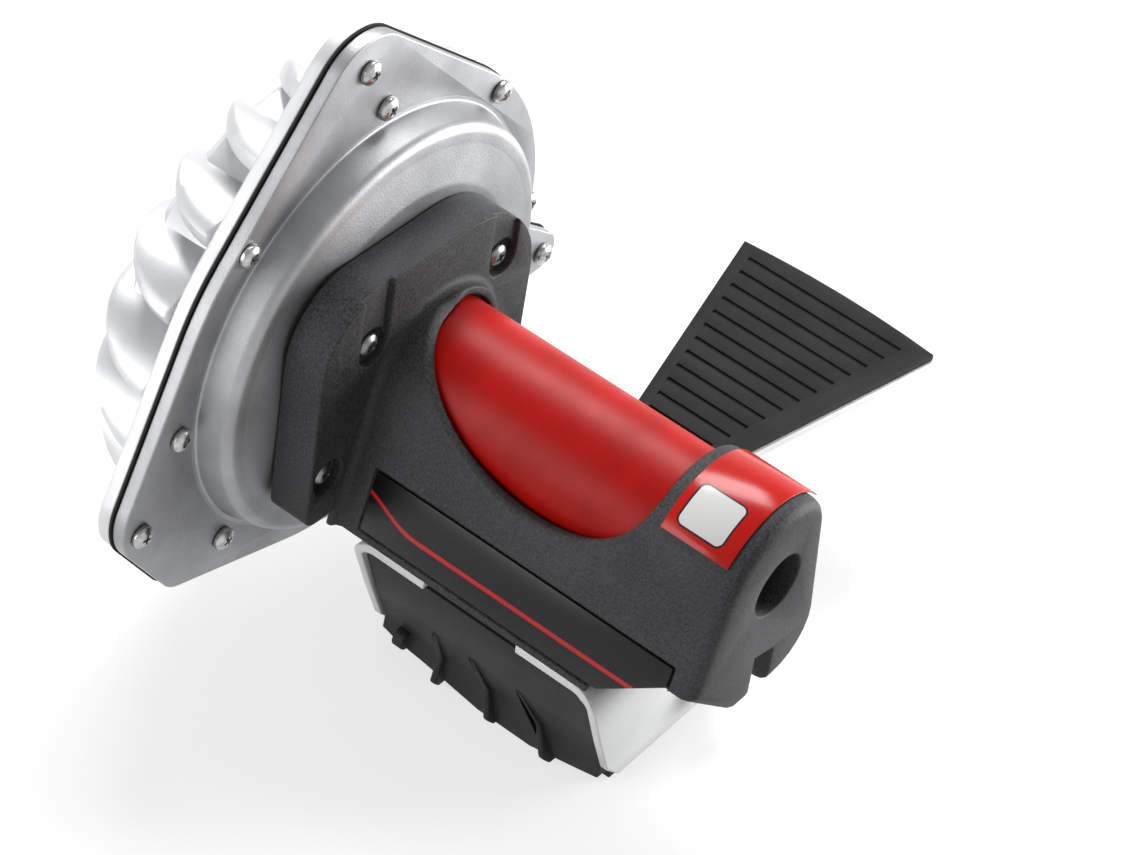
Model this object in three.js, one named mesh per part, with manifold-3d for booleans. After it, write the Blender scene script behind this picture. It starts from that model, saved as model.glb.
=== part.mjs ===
// Resistance unit of a wheel-on turbo trainer: fluid brake, roller, saddle housing,
// bent steel bracket with a foot pedal, and the hinge block that it swings on.
// Millimetres. X runs along the roller's axis, the brake at -X and the end housing at +X.
// +Y is the rear, where the pedal is, and +Z is up. The origin lies on the hinge block's seat.

import * as THREE from 'three';
import { mergeVertices } from 'three/addons/utils/BufferGeometryUtils.js';
import Module from 'manifold-3d';

const wasm = await Module();
wasm.setup();

// ---- Sizes shared by several pieces ----
const axisHeight = 96;
const fitGap = 0.3;
const cutOver = 2;
const turn = Math.PI * 2;
const degree = Math.PI / 180;

// ---- Stations along the axis ----
const endReach = 74;
const endHousingLength = 32.5;
const saddleSpan = 89.5;
const collarHeight = 3.5;
const plateThickness = 14;
const capInnerX = endReach - endHousingLength;
const collarLipX = capInnerX - saddleSpan;
const plateFrontX = collarLipX - collarHeight;
const plateBackX = plateFrontX - plateThickness;

// ---- Roller, shaft and bearings ----
const rollerRadius = 22.5;
const sleeveThickness = 4;
const rollerIntoCollar = 2.8;
const rollerToCap = 0.6;
const shaftRadius = 6;
const bearingRadius = 16;
const bearingWidth = 10;
const endBearingDepth = 8.5;
const shaftPastBearing = 1.2;
const shaftIntoBrake = 38;
const sleeveInnerRadius = rollerRadius - sleeveThickness;
const coreRadius = sleeveInnerRadius - fitGap;
const shaftBore = shaftRadius + fitGap;
const rollerStartX = collarLipX - rollerIntoCollar;
const rollerEndX = capInnerX - rollerToCap;
const endBearingX = capInnerX + endBearingDepth;
const plateBearingX = plateBackX + fitGap;
const shaftEndX = endBearingX + bearingWidth + shaftPastBearing;
const shaftStartX = plateBackX - shaftIntoBrake;

// ---- Brake: cover, gasket, finned casing ----
const cavityRadius = 63;
const bowlWall = 4.4;
const rimWidth = 12.9;
const creaseOutside = 2.4;
const shoulderWidth = 3;
const domeFlatShare = 0.7485;
const domeHeight = 10.2;
const shoulderDrop = 2.8;
const shoulderRound = 2;
const wallFoot = 1.2;
const coverWall = 3.6;
const hubThickness = 6.2;
const hubRadius = 22;
const sealRadius = 13;
const flangeThickness = 4.4;
const gasketThickness = 0.7;
const bandThickness = 4.5;
const casingDepth = 32;
const bowlDepth = 27;
const gasketOverhang = 0.5;
const gasketLand = 3;
const frontLobeRadius = 18;
const frontLobeOut = 2.7;
const frontLobeAngle = -162;
const frontHeelRadius = 11;
const frontHeelOut = 5.7;
const frontHeelAngle = -143;
const topLobeRadius = 18;
const topLobeOut = 6.7;
const topLobeAngle = 96;
const rearLobeRadius = 7;
const rearLobeOut = 14.3;
const rearLobeAngle = -17.6;
const rearNeckRadius = 15;
const rearNeckInside = 10.3;
const rimScrewInside = 3.7;
const rimScrewCount = 8;
const topLobeScrewOut = 7.6;
const frontLobeScrewOut = 11.6;
const topLobeScrewAngle = 96;
const frontLobeScrewAngle = -162.4;
const coverHubX = plateBackX - fitGap;
const shoulderX = coverHubX - shoulderDrop;
const flangeFaceX = shoulderX - domeHeight;
const flangeBackX = flangeFaceX - flangeThickness;
const gasketFrontX = flangeBackX - fitGap;
const gasketBackX = gasketFrontX - gasketThickness;
const casingFrontX = gasketBackX - fitGap;
const bandBackX = casingFrontX - bandThickness;
const casingBackX = bandBackX - casingDepth;
const bowlBackX = bandBackX - bowlDepth;
const bowlRadius = cavityRadius + bowlWall;
const rimRadius = bowlRadius + rimWidth;
const creaseRadius = bowlRadius + creaseOutside;
const shoulderRadius = creaseRadius - shoulderWidth;
const domeFlatRadius = shoulderRadius * domeFlatShare;
const rimScrewCircle = rimRadius - rimScrewInside;
const frontLobeReach = rimRadius + frontLobeOut;
const frontHeelReach = rimRadius + frontHeelOut;
const topLobeReach = rimRadius + topLobeOut;
const rearLobeReach = rimRadius + rearLobeOut;
const rearNeckReach = rimRadius - rearNeckInside;

// ---- Fins of the casing ----
const finCount = 20;
const finSwirl = 30;
const finRoot = 34;
const finTipInside = 0.8;
const finTip = rimRadius - finTipInside;
const finThickness = 3.6;
const finTipWidth = 8.5;
const finBowShare = 0.35;
const finTipStartShare = 0.8;
const finEnvelopeRadiusShares = [1, 0.985, 0.93, 0.83, 0.7];
const finEnvelopeDepthShares = [0, 0.4, 0.7, 0.9, 1];

// ---- Impeller inside the brake ----
const impellerClearance = 9;
const impellerRadius = cavityRadius - impellerClearance;
const impellerPlate = 4;
const impellerHubRadius = 14;
const impellerHubLength = 22;
const bladeCount = 6;
const bladeHeight = 11;
const bladeThickness = 3;
const bladeInset = 2;

// ---- Screws ----
const rimHeadRadius = 3.8;
const rimHeadHeight = 2.6;
const rimShankRadius = 1.9;
const rimShankLength = 9;
const plateShankRadius = 2.3;
const plateShankLength = 16;
const crossLength = 4.2;
const crossWidth = 1.1;
const crossDepth = 1.2;
const headDomeShare = 0.45;
const headCrownShares = [0.72, 0.9];

// ---- Saddle housing: plate ----
const plateTop = 44;
const plateBottom = -35;
const plateFrontEdge = -50.4;
const plateRearEdge = 44;
const plateFrontCorner = 24;
const plateRearCorner = 34;
const plateBottomCorner = 4;
const upperScrewY = 28.5;
const upperScrewZ = 22;
const lowerScrewFrontY = -42.6;
const lowerScrewRearY = 37;
const lowerScrewZ = -18.4;
const pocketWidth = 12;
const pocketDepth = 3.6;
const slotDepth = 1.6;
const plateBossRadius = 6;
const plateBossLength = 7;

// ---- Saddle housing: collar, body and saddle cutout ----
const capRadius = 26.3;
const troughRadius = 23.7;
const flareReach = 2.3;
const flareLength = 2.6;
const wallLean = 13;
const bodyBottom = -41;
const bodyRearEdge = 26.3;
const saddleLowX = 6;
const saddleLowZ = -4;
const saddleLeftRise = 30;
const saddleLeftPower = 1.85;
const saddleRightRise = 27;
const saddleRearFromY = -4;
const saddleRearLead = 2.8;
const saddleRearRun = 12;

// ---- Saddle housing: end housing ----
const endBottom = -45.5;
const endChamferTopZ = -24.6;
const endChamferBottomY = -9;
const endRearRound = 17;
const endRearLean = 10;
const endRearReach = 22;
const endShoulderAngle = 60;
const endFillet = 4.5;
const accessRadius = 10.2;
const notchFrontY = -3;
const notchWidth = 10.5;
const notchTaper = 1;
const notchTopZ = -27;
const notchTopDrop = 2.5;
const notchDepth = 12;

// ---- Label recess, label strip and sticker ----
const labelTopV = -23.5;
const labelHeight = 22.3;
const labelStartX = -44;
const labelEndX = 65;
const labelDepth = 1.2;
const labelThickness = 0.8;
const labelMargin = 0.8;
const labelCornerRun = 20;
const labelCornerHeight = 14;
const facetStartX = 23.4;
const facetStartV = -5.2;
const facetLowV = -22.4;
const facetHighV = 14;
const facetDepth = 1.8;
const facetReturnSlope = 24;
const stickerStartX = 45.5;
const stickerEndX = 68.5;
const stickerThickness = 0.5;
const stickerFrontAngle = 141;
const stickerRearAngle = 40;

// ---- Bracket ----
const bracketWidth = 90;
const steelThickness = 3;
const bendRadius = 8;
const webFrontY = -36;
const webRearY = 22;
const notchLeftX = -18;
const notchRightX = 16;
const webNotchDepth = 6;
const pivotY = 26;
const pivotZ = 19;
const pivotBoltRadius = 4;
const flangeEyeRadius = 13;
const flangeEyeFromAngle = -100;
const flangeEyeToAngle = 30;
const flangeKneeY = -27.4;
const flangeKneeZ = 28.4;
const flangeToeY = -20.5;
const flangeToeZ = 12;
const flangeHeelY = -14;
const flangeHeelZ = 5.5;
const webTopZ = axisHeight + bodyBottom - fitGap;
const webUnderZ = webTopZ - steelThickness;
const flangeX = bracketWidth / 2;
const flangeInnerX = flangeX - steelThickness;

// ---- Pedal ----
const pedalShift = -2;
const pedalEndY = 148.4;
const pedalHalfWidth = 37.8;
const tongueHalfWidth = 12.8;
const tongueNeckY = 43;
const pedalRise = 3.9;
const pedalBow = 2;
const padThickness = 2.6;
const padInset = 0.8;
const padStartY = 37;
const grooveCount = 14;
const groovePitch = 6.7;
const grooveWidth = 1.5;
const grooveDepth = 0.8;
const grooveLeftInset = 3.8;
const grooveRightInset = 7;
const firstGrooveInset = 8.6;
const padScrewRadius = 2;
const padScrewHeadRadius = 3.6;
const padScrewHeadHeight = 2.2;
const padScrewNearY = 46;
const padScrewFarY = 128;

// ---- Hinge block ----
const blockFrontTopY = -34.4;
const blockLipRearY = -14;
const blockShelfShare = 0.51;
const blockRearY = 42;
const blockRearDrop = 10;
const blockRearRun = 6;
const blockFaceInset = 1;
const blockFootY = -20;
const blockFootZ = 4;
const blockSkirtRearY = -13;
const blockSkirtLowLeftX = -3;
const blockSkirtLowRightX = 17;
const blockSkirtLeftRise = 7;
const blockSkirtRightRise = 6;
const blockRibTopXs = [-19, -5, 13];
const blockRibRuns = [1, 8.5, 12];
const blockRibWidth = 2.2;
const blockRibReach = 3.8;
const blockRibTopZ = 24;
const blockRibLowZ = 1;
const blockRibTopReach = 0.4;
const blockPegRadius = 3.4;
const blockPegLength = 4;
const blockPegX = -33;
const blockPegZ = 9;

// ---- Pivot bolt and housing bolts ----
const washerRadius = 8;
const washerThickness = 1.6;
const boltHeadAcross = 13;
const boltHeadHeight = 5.3;
const nutHeight = 6.8;
const boltPastNut = 2;
const housingBoltX = 24;
const housingBoltY = 2;
const housingBoltRadius = 3;
const housingBoltLength = 11;
const housingBoltAcross = 10;
const housingBoltHead = 4;

// ---- Facet counts ----
const discSteps = 64;
const ringSteps = 48;
const boreSteps = 32;
const smallSteps = 12;

// ---- Looks ----
const looks = {
  coverAlloy: ['#a9aaab', 0.42, 0.9],
  castAlloy: ['#d9dadb', 0.45, 0.85],
  screwSteel: ['#b9babc', 0.25, 1],
  gasketBlack: ['#161616', 0.8, 0],
  housingBlack: ['#333436', 0.7, 0],
  padBlack: ['#38393a', 0.8, 0],
  rollerRed: ['#b8200f', 0.45, 0],
  stickerRed: ['#d21f14', 0.4, 0],
  labelDark: ['#1d1c20', 0.45, 0],
  bracketSilver: ['#d4d6d8', 0.4, 0.8],
  shaftSteel: ['#8f9296', 0.3, 1],
  coreAlloy: ['#b4b6b8', 0.4, 0.9],
  sealBlack: ['#1a1a1a', 0.6, 0],
};

// A closed geometry as a solid, its shared corners merged and its empty triangles dropped.
function solidOf(geometry) {
  const bare = geometry.index ? geometry.toNonIndexed() : geometry.clone();
  bare.deleteAttribute('normal');
  bare.deleteAttribute('uv');
  const merged = mergeVertices(bare, 1e-4);
  const corners = merged.index.array;
  const kept = [];
  for (let i = 0; i < corners.length; i += 3) {
    const [a, b, c] = [corners[i], corners[i + 1], corners[i + 2]];
    if (a !== b && b !== c && c !== a) kept.push(a, b, c);
  }
  const mesh = new wasm.Mesh({
    numProp: 3,
    vertProperties: new Float32Array(merged.attributes.position.array),
    triVerts: new Uint32Array(kept),
  });
  return new wasm.Manifold(mesh);
}

// The named mesh of a solid.
function meshOf(name, solid, look) {
  const { numProp, vertProperties, triVerts } = solid.getMesh();
  const points = new Float32Array((vertProperties.length / numProp) * 3);
  for (let i = 0; i < points.length / 3; i += 1) {
    points[3 * i] = vertProperties[numProp * i];
    points[3 * i + 1] = vertProperties[numProp * i + 1];
    points[3 * i + 2] = vertProperties[numProp * i + 2];
  }
  const geometry = new THREE.BufferGeometry();
  geometry.setAttribute('position', new THREE.BufferAttribute(points, 3));
  geometry.setIndex(new THREE.BufferAttribute(new Uint32Array(triVerts), 1));
  geometry.computeVertexNormals();
  const [color, roughness, metalness] = looks[look];
  const mesh = new THREE.Mesh(
    geometry,
    new THREE.MeshStandardMaterial({ color, roughness, metalness, flatShading: true }),
  );
  mesh.name = name;
  return mesh;
}

function joined(solids) {
  return solids.reduce((sum, next) => sum.add(next));
}

function without(solid, cutters) {
  return cutters.reduce((rest, next) => rest.subtract(next), solid);
}

function at(angle, radius) {
  return [radius * Math.cos(angle * degree), radius * Math.sin(angle * degree)];
}

function shapeOf(points, holes = []) {
  const shape = new THREE.Shape(points.map(([x, y]) => new THREE.Vector2(x, y)));
  for (const hole of holes) {
    shape.holes.push(new THREE.Path(hole.map(([x, y]) => new THREE.Vector2(x, y))));
  }
  return shape;
}

function arc(centreX, centreY, radius, from, to, steps) {
  const points = [];
  for (let i = 0; i <= steps; i += 1) {
    const [x, y] = at(from + ((to - from) * i) / steps, radius);
    points.push([centreX + x, centreY + y]);
  }
  return points;
}

function ring(centreX, centreY, radius, steps) {
  return arc(centreX, centreY, radius, 0, 360, steps).slice(0, -1);
}

const alongX = new THREE.Matrix4().makeBasis(
  new THREE.Vector3(0, 1, 0),
  new THREE.Vector3(0, 0, 1),
  new THREE.Vector3(1, 0, 0),
);
const alongY = new THREE.Matrix4().makeBasis(
  new THREE.Vector3(-1, 0, 0),
  new THREE.Vector3(0, 0, 1),
  new THREE.Vector3(0, 1, 0),
);

// A plain prism of a drawn outline, from one height to another.
function extruded(shape, from, to) {
  const geometry = new THREE.ExtrudeGeometry(shape, { depth: to - from, bevelEnabled: false });
  return geometry.translate(0, 0, from);
}

// A prism along X whose outline is drawn in Y and height, measured from the roller's axis.
function barX(points, fromX, toX, holes = []) {
  const geometry = extruded(shapeOf(points, holes), fromX, toX).applyMatrix4(alongX);
  return solidOf(geometry.translate(0, 0, axisHeight));
}

// The same with the height measured from the seat.
function lowBarX(points, fromX, toX, holes = []) {
  const geometry = extruded(shapeOf(points, holes), fromX, toX).applyMatrix4(alongX);
  return solidOf(geometry);
}

// A prism along Y whose outline is drawn in X and height from the seat.
function barY(points, fromY, toY) {
  const mirrored = points.map(([x, z]) => [-x, z]);
  return solidOf(extruded(shapeOf(mirrored), fromY, toY).applyMatrix4(alongY));
}

// A prism along Z whose outline is drawn in X and Y.
function barZ(points, fromZ, toZ) {
  return solidOf(extruded(shapeOf(points), fromZ, toZ));
}

// A turned piece on the roller's axis, its profile drawn as radius and X.
function turned(profile, steps) {
  const points = profile.map(([r, x]) => new THREE.Vector2(r, x));
  const geometry = new THREE.LatheGeometry(points, steps).rotateZ(-Math.PI / 2);
  return solidOf(geometry.translate(0, 0, axisHeight));
}

function discX(radius, fromX, toX, y, z, steps) {
  return barX(ring(y, z, radius, steps), fromX, toX);
}

// The convex outline round a set of circles given as [y, z, radius].
function outlineRound(circles, steps) {
  const points = circles.flatMap(([y, z, radius]) => ring(y, z, radius, steps));
  points.sort((p, q) => p[0] - q[0] || p[1] - q[1]);
  const half = (list) => {
    const chain = [];
    for (const p of list) {
      while (chain.length > 1) {
        const [a, b] = chain.slice(-2);
        const side = (b[0] - a[0]) * (p[1] - a[1]) - (b[1] - a[1]) * (p[0] - a[0]);
        if (side > 1e-6) break;
        chain.pop();
      }
      chain.push(p);
    }
    return chain.slice(0, -1);
  };
  return [...half(points), ...half([...points].reverse())];
}

// ---- Brake ----

const rimScrewPlaces = Array.from({ length: rimScrewCount }, (_, i) =>
  at((360 / rimScrewCount) * i, rimScrewCircle));
const lobeScrewPlaces = [
  at(rearLobeAngle, rearLobeReach),
  at(topLobeScrewAngle, topLobeReach + topLobeScrewOut),
  at(frontLobeScrewAngle, frontLobeReach + frontLobeScrewOut),
];

// The rim's outline with its three lobes, grown or shrunk by a margin.
function rimPlate(fromX, toX, grown, boreRadius) {
  const main = [0, 0, rimRadius + grown];
  const top = [...at(topLobeAngle, topLobeReach), topLobeRadius + grown];
  const front = [...at(frontLobeAngle, frontLobeReach), frontLobeRadius + grown];
  const heel = [...at(frontHeelAngle, frontHeelReach), frontHeelRadius + grown];
  const neck = [...at(rearLobeAngle, rearNeckReach), rearNeckRadius];
  const rear = [...at(rearLobeAngle, rearLobeReach), rearLobeRadius + grown];
  const plate = joined([
    barX(outlineRound([main, top], discSteps), fromX, toX),
    barX(outlineRound([main, front, heel], discSteps), fromX, toX),
    barX(outlineRound([neck, rear], discSteps / 3), fromX, toX),
  ]);
  return plate.subtract(discX(boreRadius, fromX - cutOver, toX + cutOver, 0, 0, discSteps));
}

function rimHoles(fromX, toX) {
  return [...rimScrewPlaces, ...lobeScrewPlaces].map(([y, z]) =>
    discX(rimShankRadius + fitGap, fromX, toX, y, z, smallSteps));
}

const plateScrewPlaces = [
  [upperScrewY, upperScrewZ],
  [-upperScrewY, upperScrewZ],
  [lowerScrewFrontY, lowerScrewZ],
  [lowerScrewRearY, lowerScrewZ],
];

function frontCover() {
  const innerHubX = coverHubX - hubThickness;
  const innerFlatX = coverHubX - coverWall;
  const innerShoulderX = shoulderX - coverWall;
  const shell = turned([
    [cavityRadius, flangeBackX],
    [creaseRadius + wallFoot, flangeBackX],
    [creaseRadius + wallFoot, flangeFaceX],
    [creaseRadius, flangeFaceX + wallFoot],
    [shoulderRadius + shoulderRound / 2, shoulderX - shoulderRound],
    [shoulderRadius, shoulderX - shoulderRound / 2],
    [shoulderRadius - shoulderRound, shoulderX],
    [domeFlatRadius, coverHubX],
    [sealRadius + fitGap, coverHubX],
    [sealRadius + fitGap, innerHubX],
    [hubRadius, innerHubX],
    [hubRadius + shoulderRound, innerFlatX],
    [domeFlatRadius, innerFlatX],
    [cavityRadius - shoulderRound, innerShoulderX],
    [cavityRadius, innerShoulderX - shoulderRound],
    [cavityRadius, flangeBackX],
  ], discSteps);
  const flange = rimPlate(flangeBackX, flangeFaceX, 0, cavityRadius + wallFoot);
  const bosses = plateScrewPlaces.map(([y, z]) =>
    discX(plateBossRadius, innerFlatX - plateBossLength, coverHubX - coverWall / 2, y, z, smallSteps * 2));
  const holes = plateScrewPlaces.map(([y, z]) =>
    discX(plateShankRadius + fitGap, innerFlatX - plateBossLength / 2 - cutOver,
      coverHubX + cutOver, y, z, smallSteps));
  return without(joined([shell, flange, ...bosses]),
    [...holes, ...rimHoles(flangeBackX - cutOver, flangeFaceX + cutOver)]);
}

function gasket() {
  const sheet = rimPlate(gasketBackX, gasketFrontX, gasketOverhang, cavityRadius + gasketLand);
  return without(sheet, rimHoles(gasketBackX - cutOver, gasketFrontX + cutOver));
}

// One swirled fin, drawn in Y and height and rounded at its tip.
function finOutline() {
  const steps = 7;
  const rising = [];
  const falling = [];
  for (let i = 0; i <= steps; i += 1) {
    const share = i / steps;
    const radius = finRoot + (finTip - finRoot) * share;
    const bow = Math.sin(share * Math.PI) * finBowShare;
    const angle = finSwirl * (share - bow * share);
    const swell = Math.max(0, (share - finTipStartShare) / (1 - finTipStartShare));
    const width = finThickness + (finTipWidth - finThickness) * Math.sin(swell * Math.PI * (3 / 4));
    const halfAngle = (width / 2 / radius) / degree;
    rising.push(at(angle - halfAngle, radius));
    falling.unshift(at(angle + halfAngle, radius));
  }
  return [...rising, ...falling];
}

function finnedCasing() {
  const band = rimPlate(bandBackX, casingFrontX, 0, cavityRadius);
  const bowl = turned([
    [0, bowlBackX],
    [bowlRadius - bowlWall, bowlBackX],
    [bowlRadius, bowlBackX + bowlWall],
    [bowlRadius, casingFrontX - fitGap],
    [cavityRadius, casingFrontX - fitGap],
    [cavityRadius, bowlBackX + bowlWall + shoulderRound],
    [cavityRadius - shoulderRound, bowlBackX + bowlWall],
    [0, bowlBackX + bowlWall],
  ], discSteps);
  const envelopePoints = finEnvelopeRadiusShares.map((share, i) =>
    [finTip * share, bandBackX + fitGap - (casingDepth + fitGap) * finEnvelopeDepthShares[i]]);
  const envelope = turned([
    [0, casingBackX],
    ...envelopePoints.reverse(),
    [0, bandBackX + fitGap],
  ], discSteps);
  const fins = [];
  for (let i = 0; i < finCount; i += 1) {
    const outline = finOutline().map(([y, z]) => {
      const angle = ((360 / finCount) * i) * degree;
      return [y * Math.cos(angle) - z * Math.sin(angle), y * Math.sin(angle) + z * Math.cos(angle)];
    });
    fins.push(barX(outline, casingBackX - cutOver, bandBackX + fitGap));
  }
  const cavity = discX(cavityRadius, bowlBackX + bowlWall + shoulderRound, casingFrontX + cutOver,
    0, 0, discSteps);
  const finned = joined(fins).intersect(envelope);
  const body = joined([band, bowl, finned]).subtract(cavity);
  return without(body, rimHoles(casingFrontX - rimShankLength, casingFrontX + cutOver));
}

// A pan-head screw with a cross recess, its head facing +X.
function crossScrew(headX, y, z, headRadius, headHeight, shankRadius, shankLength) {
  const [crownRadiusShare, crownHeightShare] = headCrownShares;
  const profile = [
    [0, headX - shankLength],
    [shankRadius, headX - shankLength],
    [shankRadius, headX],
    [headRadius, headX],
    [headRadius, headX + headHeight * headDomeShare],
    [headRadius * crownRadiusShare, headX + headHeight * crownHeightShare],
    [0, headX + headHeight],
  ];
  const body = turned(profile, smallSteps);
  const half = crossLength / 2;
  const thin = crossWidth / 2;
  const cross = [
    [-half, -thin], [-thin, -thin], [-thin, -half], [thin, -half], [thin, -thin], [half, -thin],
    [half, thin], [thin, thin], [thin, half], [-thin, half], [-thin, thin], [-half, thin],
  ];
  const topX = headX + headHeight;
  const recess = barX(cross, topX - crossDepth, topX + cutOver);
  return body.subtract(recess).translate([0, y, z]);
}

function shaftSeal() {
  return turned([
    [shaftBore, coverHubX - hubThickness + fitGap],
    [sealRadius, coverHubX - hubThickness + fitGap],
    [sealRadius, coverHubX - fitGap],
    [shaftBore, coverHubX - fitGap],
    [shaftBore, coverHubX - hubThickness + fitGap],
  ], boreSteps);
}

function impeller() {
  const plateX = casingFrontX - bladeInset;
  const hubFrontX = plateX + bladeInset + fitGap;
  const wheel = turned([
    [shaftBore, hubFrontX - impellerHubLength],
    [impellerHubRadius, hubFrontX - impellerHubLength],
    [impellerHubRadius, plateX - impellerPlate],
    [impellerRadius, plateX - impellerPlate],
    [impellerRadius, plateX],
    [impellerHubRadius, plateX],
    [impellerHubRadius, hubFrontX],
    [shaftBore, hubFrontX],
    [shaftBore, hubFrontX - impellerHubLength],
  ], ringSteps);
  const blades = [];
  for (let i = 0; i < bladeCount; i += 1) {
    const inner = impellerHubRadius - bladeInset;
    const outer = impellerRadius - bladeInset;
    const half = bladeThickness / 2;
    const blade = barX([[inner, -half], [outer, -half], [outer, half], [inner, half]],
      plateX - impellerPlate - bladeHeight, plateX - impellerPlate + bladeInset);
    const angle = (360 / bladeCount) * i;
    blades.push(blade.translate([0, 0, -axisHeight]).rotate([angle, 0, 0])
      .translate([0, 0, axisHeight]));
  }
  return joined([wheel, ...blades]);
}

// ---- Roller ----

function tube(innerRadius, outerRadius, fromX, toX, steps) {
  return turned([
    [innerRadius, fromX],
    [outerRadius, fromX],
    [outerRadius, toX],
    [innerRadius, toX],
    [innerRadius, fromX],
  ], steps);
}

function shaft() {
  return turned([
    [0, shaftStartX],
    [shaftRadius, shaftStartX],
    [shaftRadius, shaftEndX - fitGap],
    [shaftRadius - fitGap, shaftEndX],
    [0, shaftEndX],
  ], boreSteps);
}

// ---- Saddle housing ----

const leanY = -Math.cos(wallLean * degree);
const leanZ = Math.sin(wallLean * degree);

// The place on the leaning front wall at a height measured from the axis.
function wallY(z) {
  return leanY * capRadius + (leanZ / leanY) * (capRadius * leanZ - z);
}

// A prism standing on the front wall, drawn in X and distance up the wall from its top tangent.
function onWall(points, fromOut, toOut) {
  const geometry = extruded(shapeOf(points), fromOut, toOut);
  const frame = new THREE.Matrix4().makeBasis(
    new THREE.Vector3(1, 0, 0),
    new THREE.Vector3(0, leanZ, -leanY),
    new THREE.Vector3(0, leanY, leanZ),
  );
  frame.setPosition(0, leanY * capRadius, axisHeight + leanZ * capRadius);
  return solidOf(geometry.applyMatrix4(frame));
}

// The housing's D outline: round over the roller, a leaning front wall and a lean of its own at the rear.
function walledOutline(rearLean, rearReach) {
  const turnBack = Math.cos((endShoulderAngle - rearLean) * degree);
  const rearRadius = (rearReach - capRadius * turnBack) / (1 - turnBack);
  const [rearY, rearZ] = at(endShoulderAngle, capRadius - rearRadius);
  const lowZ = endBottom + endRearRound;
  const lean = rearLean * degree;
  const lowY = (rearReach - endRearRound - Math.sin(lean) * lowZ) / Math.cos(lean);
  return [
    ...arc(0, 0, capRadius, endShoulderAngle, 180 - wallLean, ringSteps / 3).slice(1),
    [wallY(endChamferTopZ), endChamferTopZ],
    [endChamferBottomY, endBottom],
    ...arc(lowY, lowZ, endRearRound, -90, rearLean, ringSteps / 8),
    ...arc(rearY, rearZ, rearRadius, rearLean, endShoulderAngle, ringSteps / 6),
  ];
}

// The body's outline, its round top in the same facets as the end housing's.
function bodyOutline() {
  return [
    ...arc(0, 0, capRadius, 0, endShoulderAngle, ringSteps / 6),
    ...arc(0, 0, capRadius, endShoulderAngle, 180 - wallLean, ringSteps / 3).slice(1),
    [wallY(bodyBottom), bodyBottom],
    [bodyRearEdge, bodyBottom],
  ];
}

// A convex outline moved inwards by a margin.
function inset(points, margin) {
  return points.map(([y, z], i) => {
    const [beforeY, beforeZ] = points[(i + points.length - 1) % points.length];
    const [afterY, afterZ] = points[(i + 1) % points.length];
    const inLength = Math.hypot(y - beforeY, z - beforeZ);
    const outLength = Math.hypot(afterY - y, afterZ - z);
    const inNormal = [(beforeZ - z) / inLength, (y - beforeY) / inLength];
    const outNormal = [(z - afterZ) / outLength, (afterY - y) / outLength];
    const scale = margin / (1 + inNormal[0] * outNormal[0] + inNormal[1] * outNormal[1]);
    return [y + (inNormal[0] + outNormal[0]) * scale, z + (inNormal[1] + outNormal[1]) * scale];
  });
}

// A solid through convex outlines with equal counts, each given with its X.
function lofted(sections) {
  const count = sections[0].points.length;
  const corners = [];
  for (const { points, x } of sections) {
    for (const [y, z] of points) corners.push(x, y, z + axisHeight);
  }
  const faces = [];
  for (let i = 0; i + 1 < sections.length; i += 1) {
    for (let j = 0; j < count; j += 1) {
      const near = i * count;
      const next = (j + 1) % count;
      faces.push(near + j, near + next, near + count + next);
      faces.push(near + j, near + count + next, near + count + j);
    }
  }
  const last = (sections.length - 1) * count;
  for (let j = 1; j + 1 < count; j += 1) {
    faces.push(0, j + 1, j);
    faces.push(last, last + j, last + j + 1);
  }
  const geometry = new THREE.BufferGeometry();
  geometry.setAttribute('position', new THREE.Float32BufferAttribute(corners, 3));
  geometry.setIndex(faces);
  return solidOf(geometry);
}

// The end housing: drawn in towards its face, with a rounded outer edge.
function endHousing() {
  const face = walledOutline(endRearLean, endRearReach);
  const roundSteps = 3;
  const sections = [
    { points: walledOutline(0, bodyRearEdge), x: capInnerX },
    { points: face, x: endReach - endFillet },
  ];
  for (let i = 1; i <= roundSteps; i += 1) {
    const angle = ((90 * i) / roundSteps) * degree;
    sections.push({
      points: inset(face, endFillet * (1 - Math.cos(angle))),
      x: endReach - endFillet * (1 - Math.sin(angle)),
    });
  }
  const reach = axisHeight;
  const overWeb = barX([[-reach, -reach], [reach, -reach], [reach, bodyBottom], [-reach, bodyBottom]],
    capInnerX - cutOver, flangeX + fitGap);
  return lofted(sections).subtract(overWeb);
}

// The body's front and its collar widen where they meet the plate.
function flare() {
  const wide = inset(bodyOutline(), -flareReach);
  return lofted([
    { points: wide, x: plateFrontX - cutOver },
    { points: wide, x: plateFrontX },
    { points: inset(bodyOutline(), -flareReach / 3), x: plateFrontX + flareLength / 3 },
    { points: bodyOutline(), x: plateFrontX + flareLength },
  ]).intersect(barX([
    [plateFrontEdge, bodyBottom], [plateRearEdge, bodyBottom],
    [plateRearEdge, plateTop], [plateFrontEdge, plateTop],
  ], plateFrontX - cutOver, collarLipX));
}

function plate() {
  const front = plateFrontCorner;
  const rear = plateRearCorner;
  const foot = plateBottomCorner;
  return barX([
    ...arc(plateRearEdge - rear, plateTop - rear, rear, 0, 90, smallSteps),
    ...arc(plateFrontEdge + front, plateTop - front, front, 90, 180, smallSteps),
    ...arc(plateFrontEdge + foot, plateBottom + foot, foot, 180, 270, smallSteps / 4),
    ...arc(plateRearEdge - foot, plateBottom + foot, foot, 270, 360, smallSteps / 4),
  ], plateBackX, plateFrontX);
}

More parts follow.
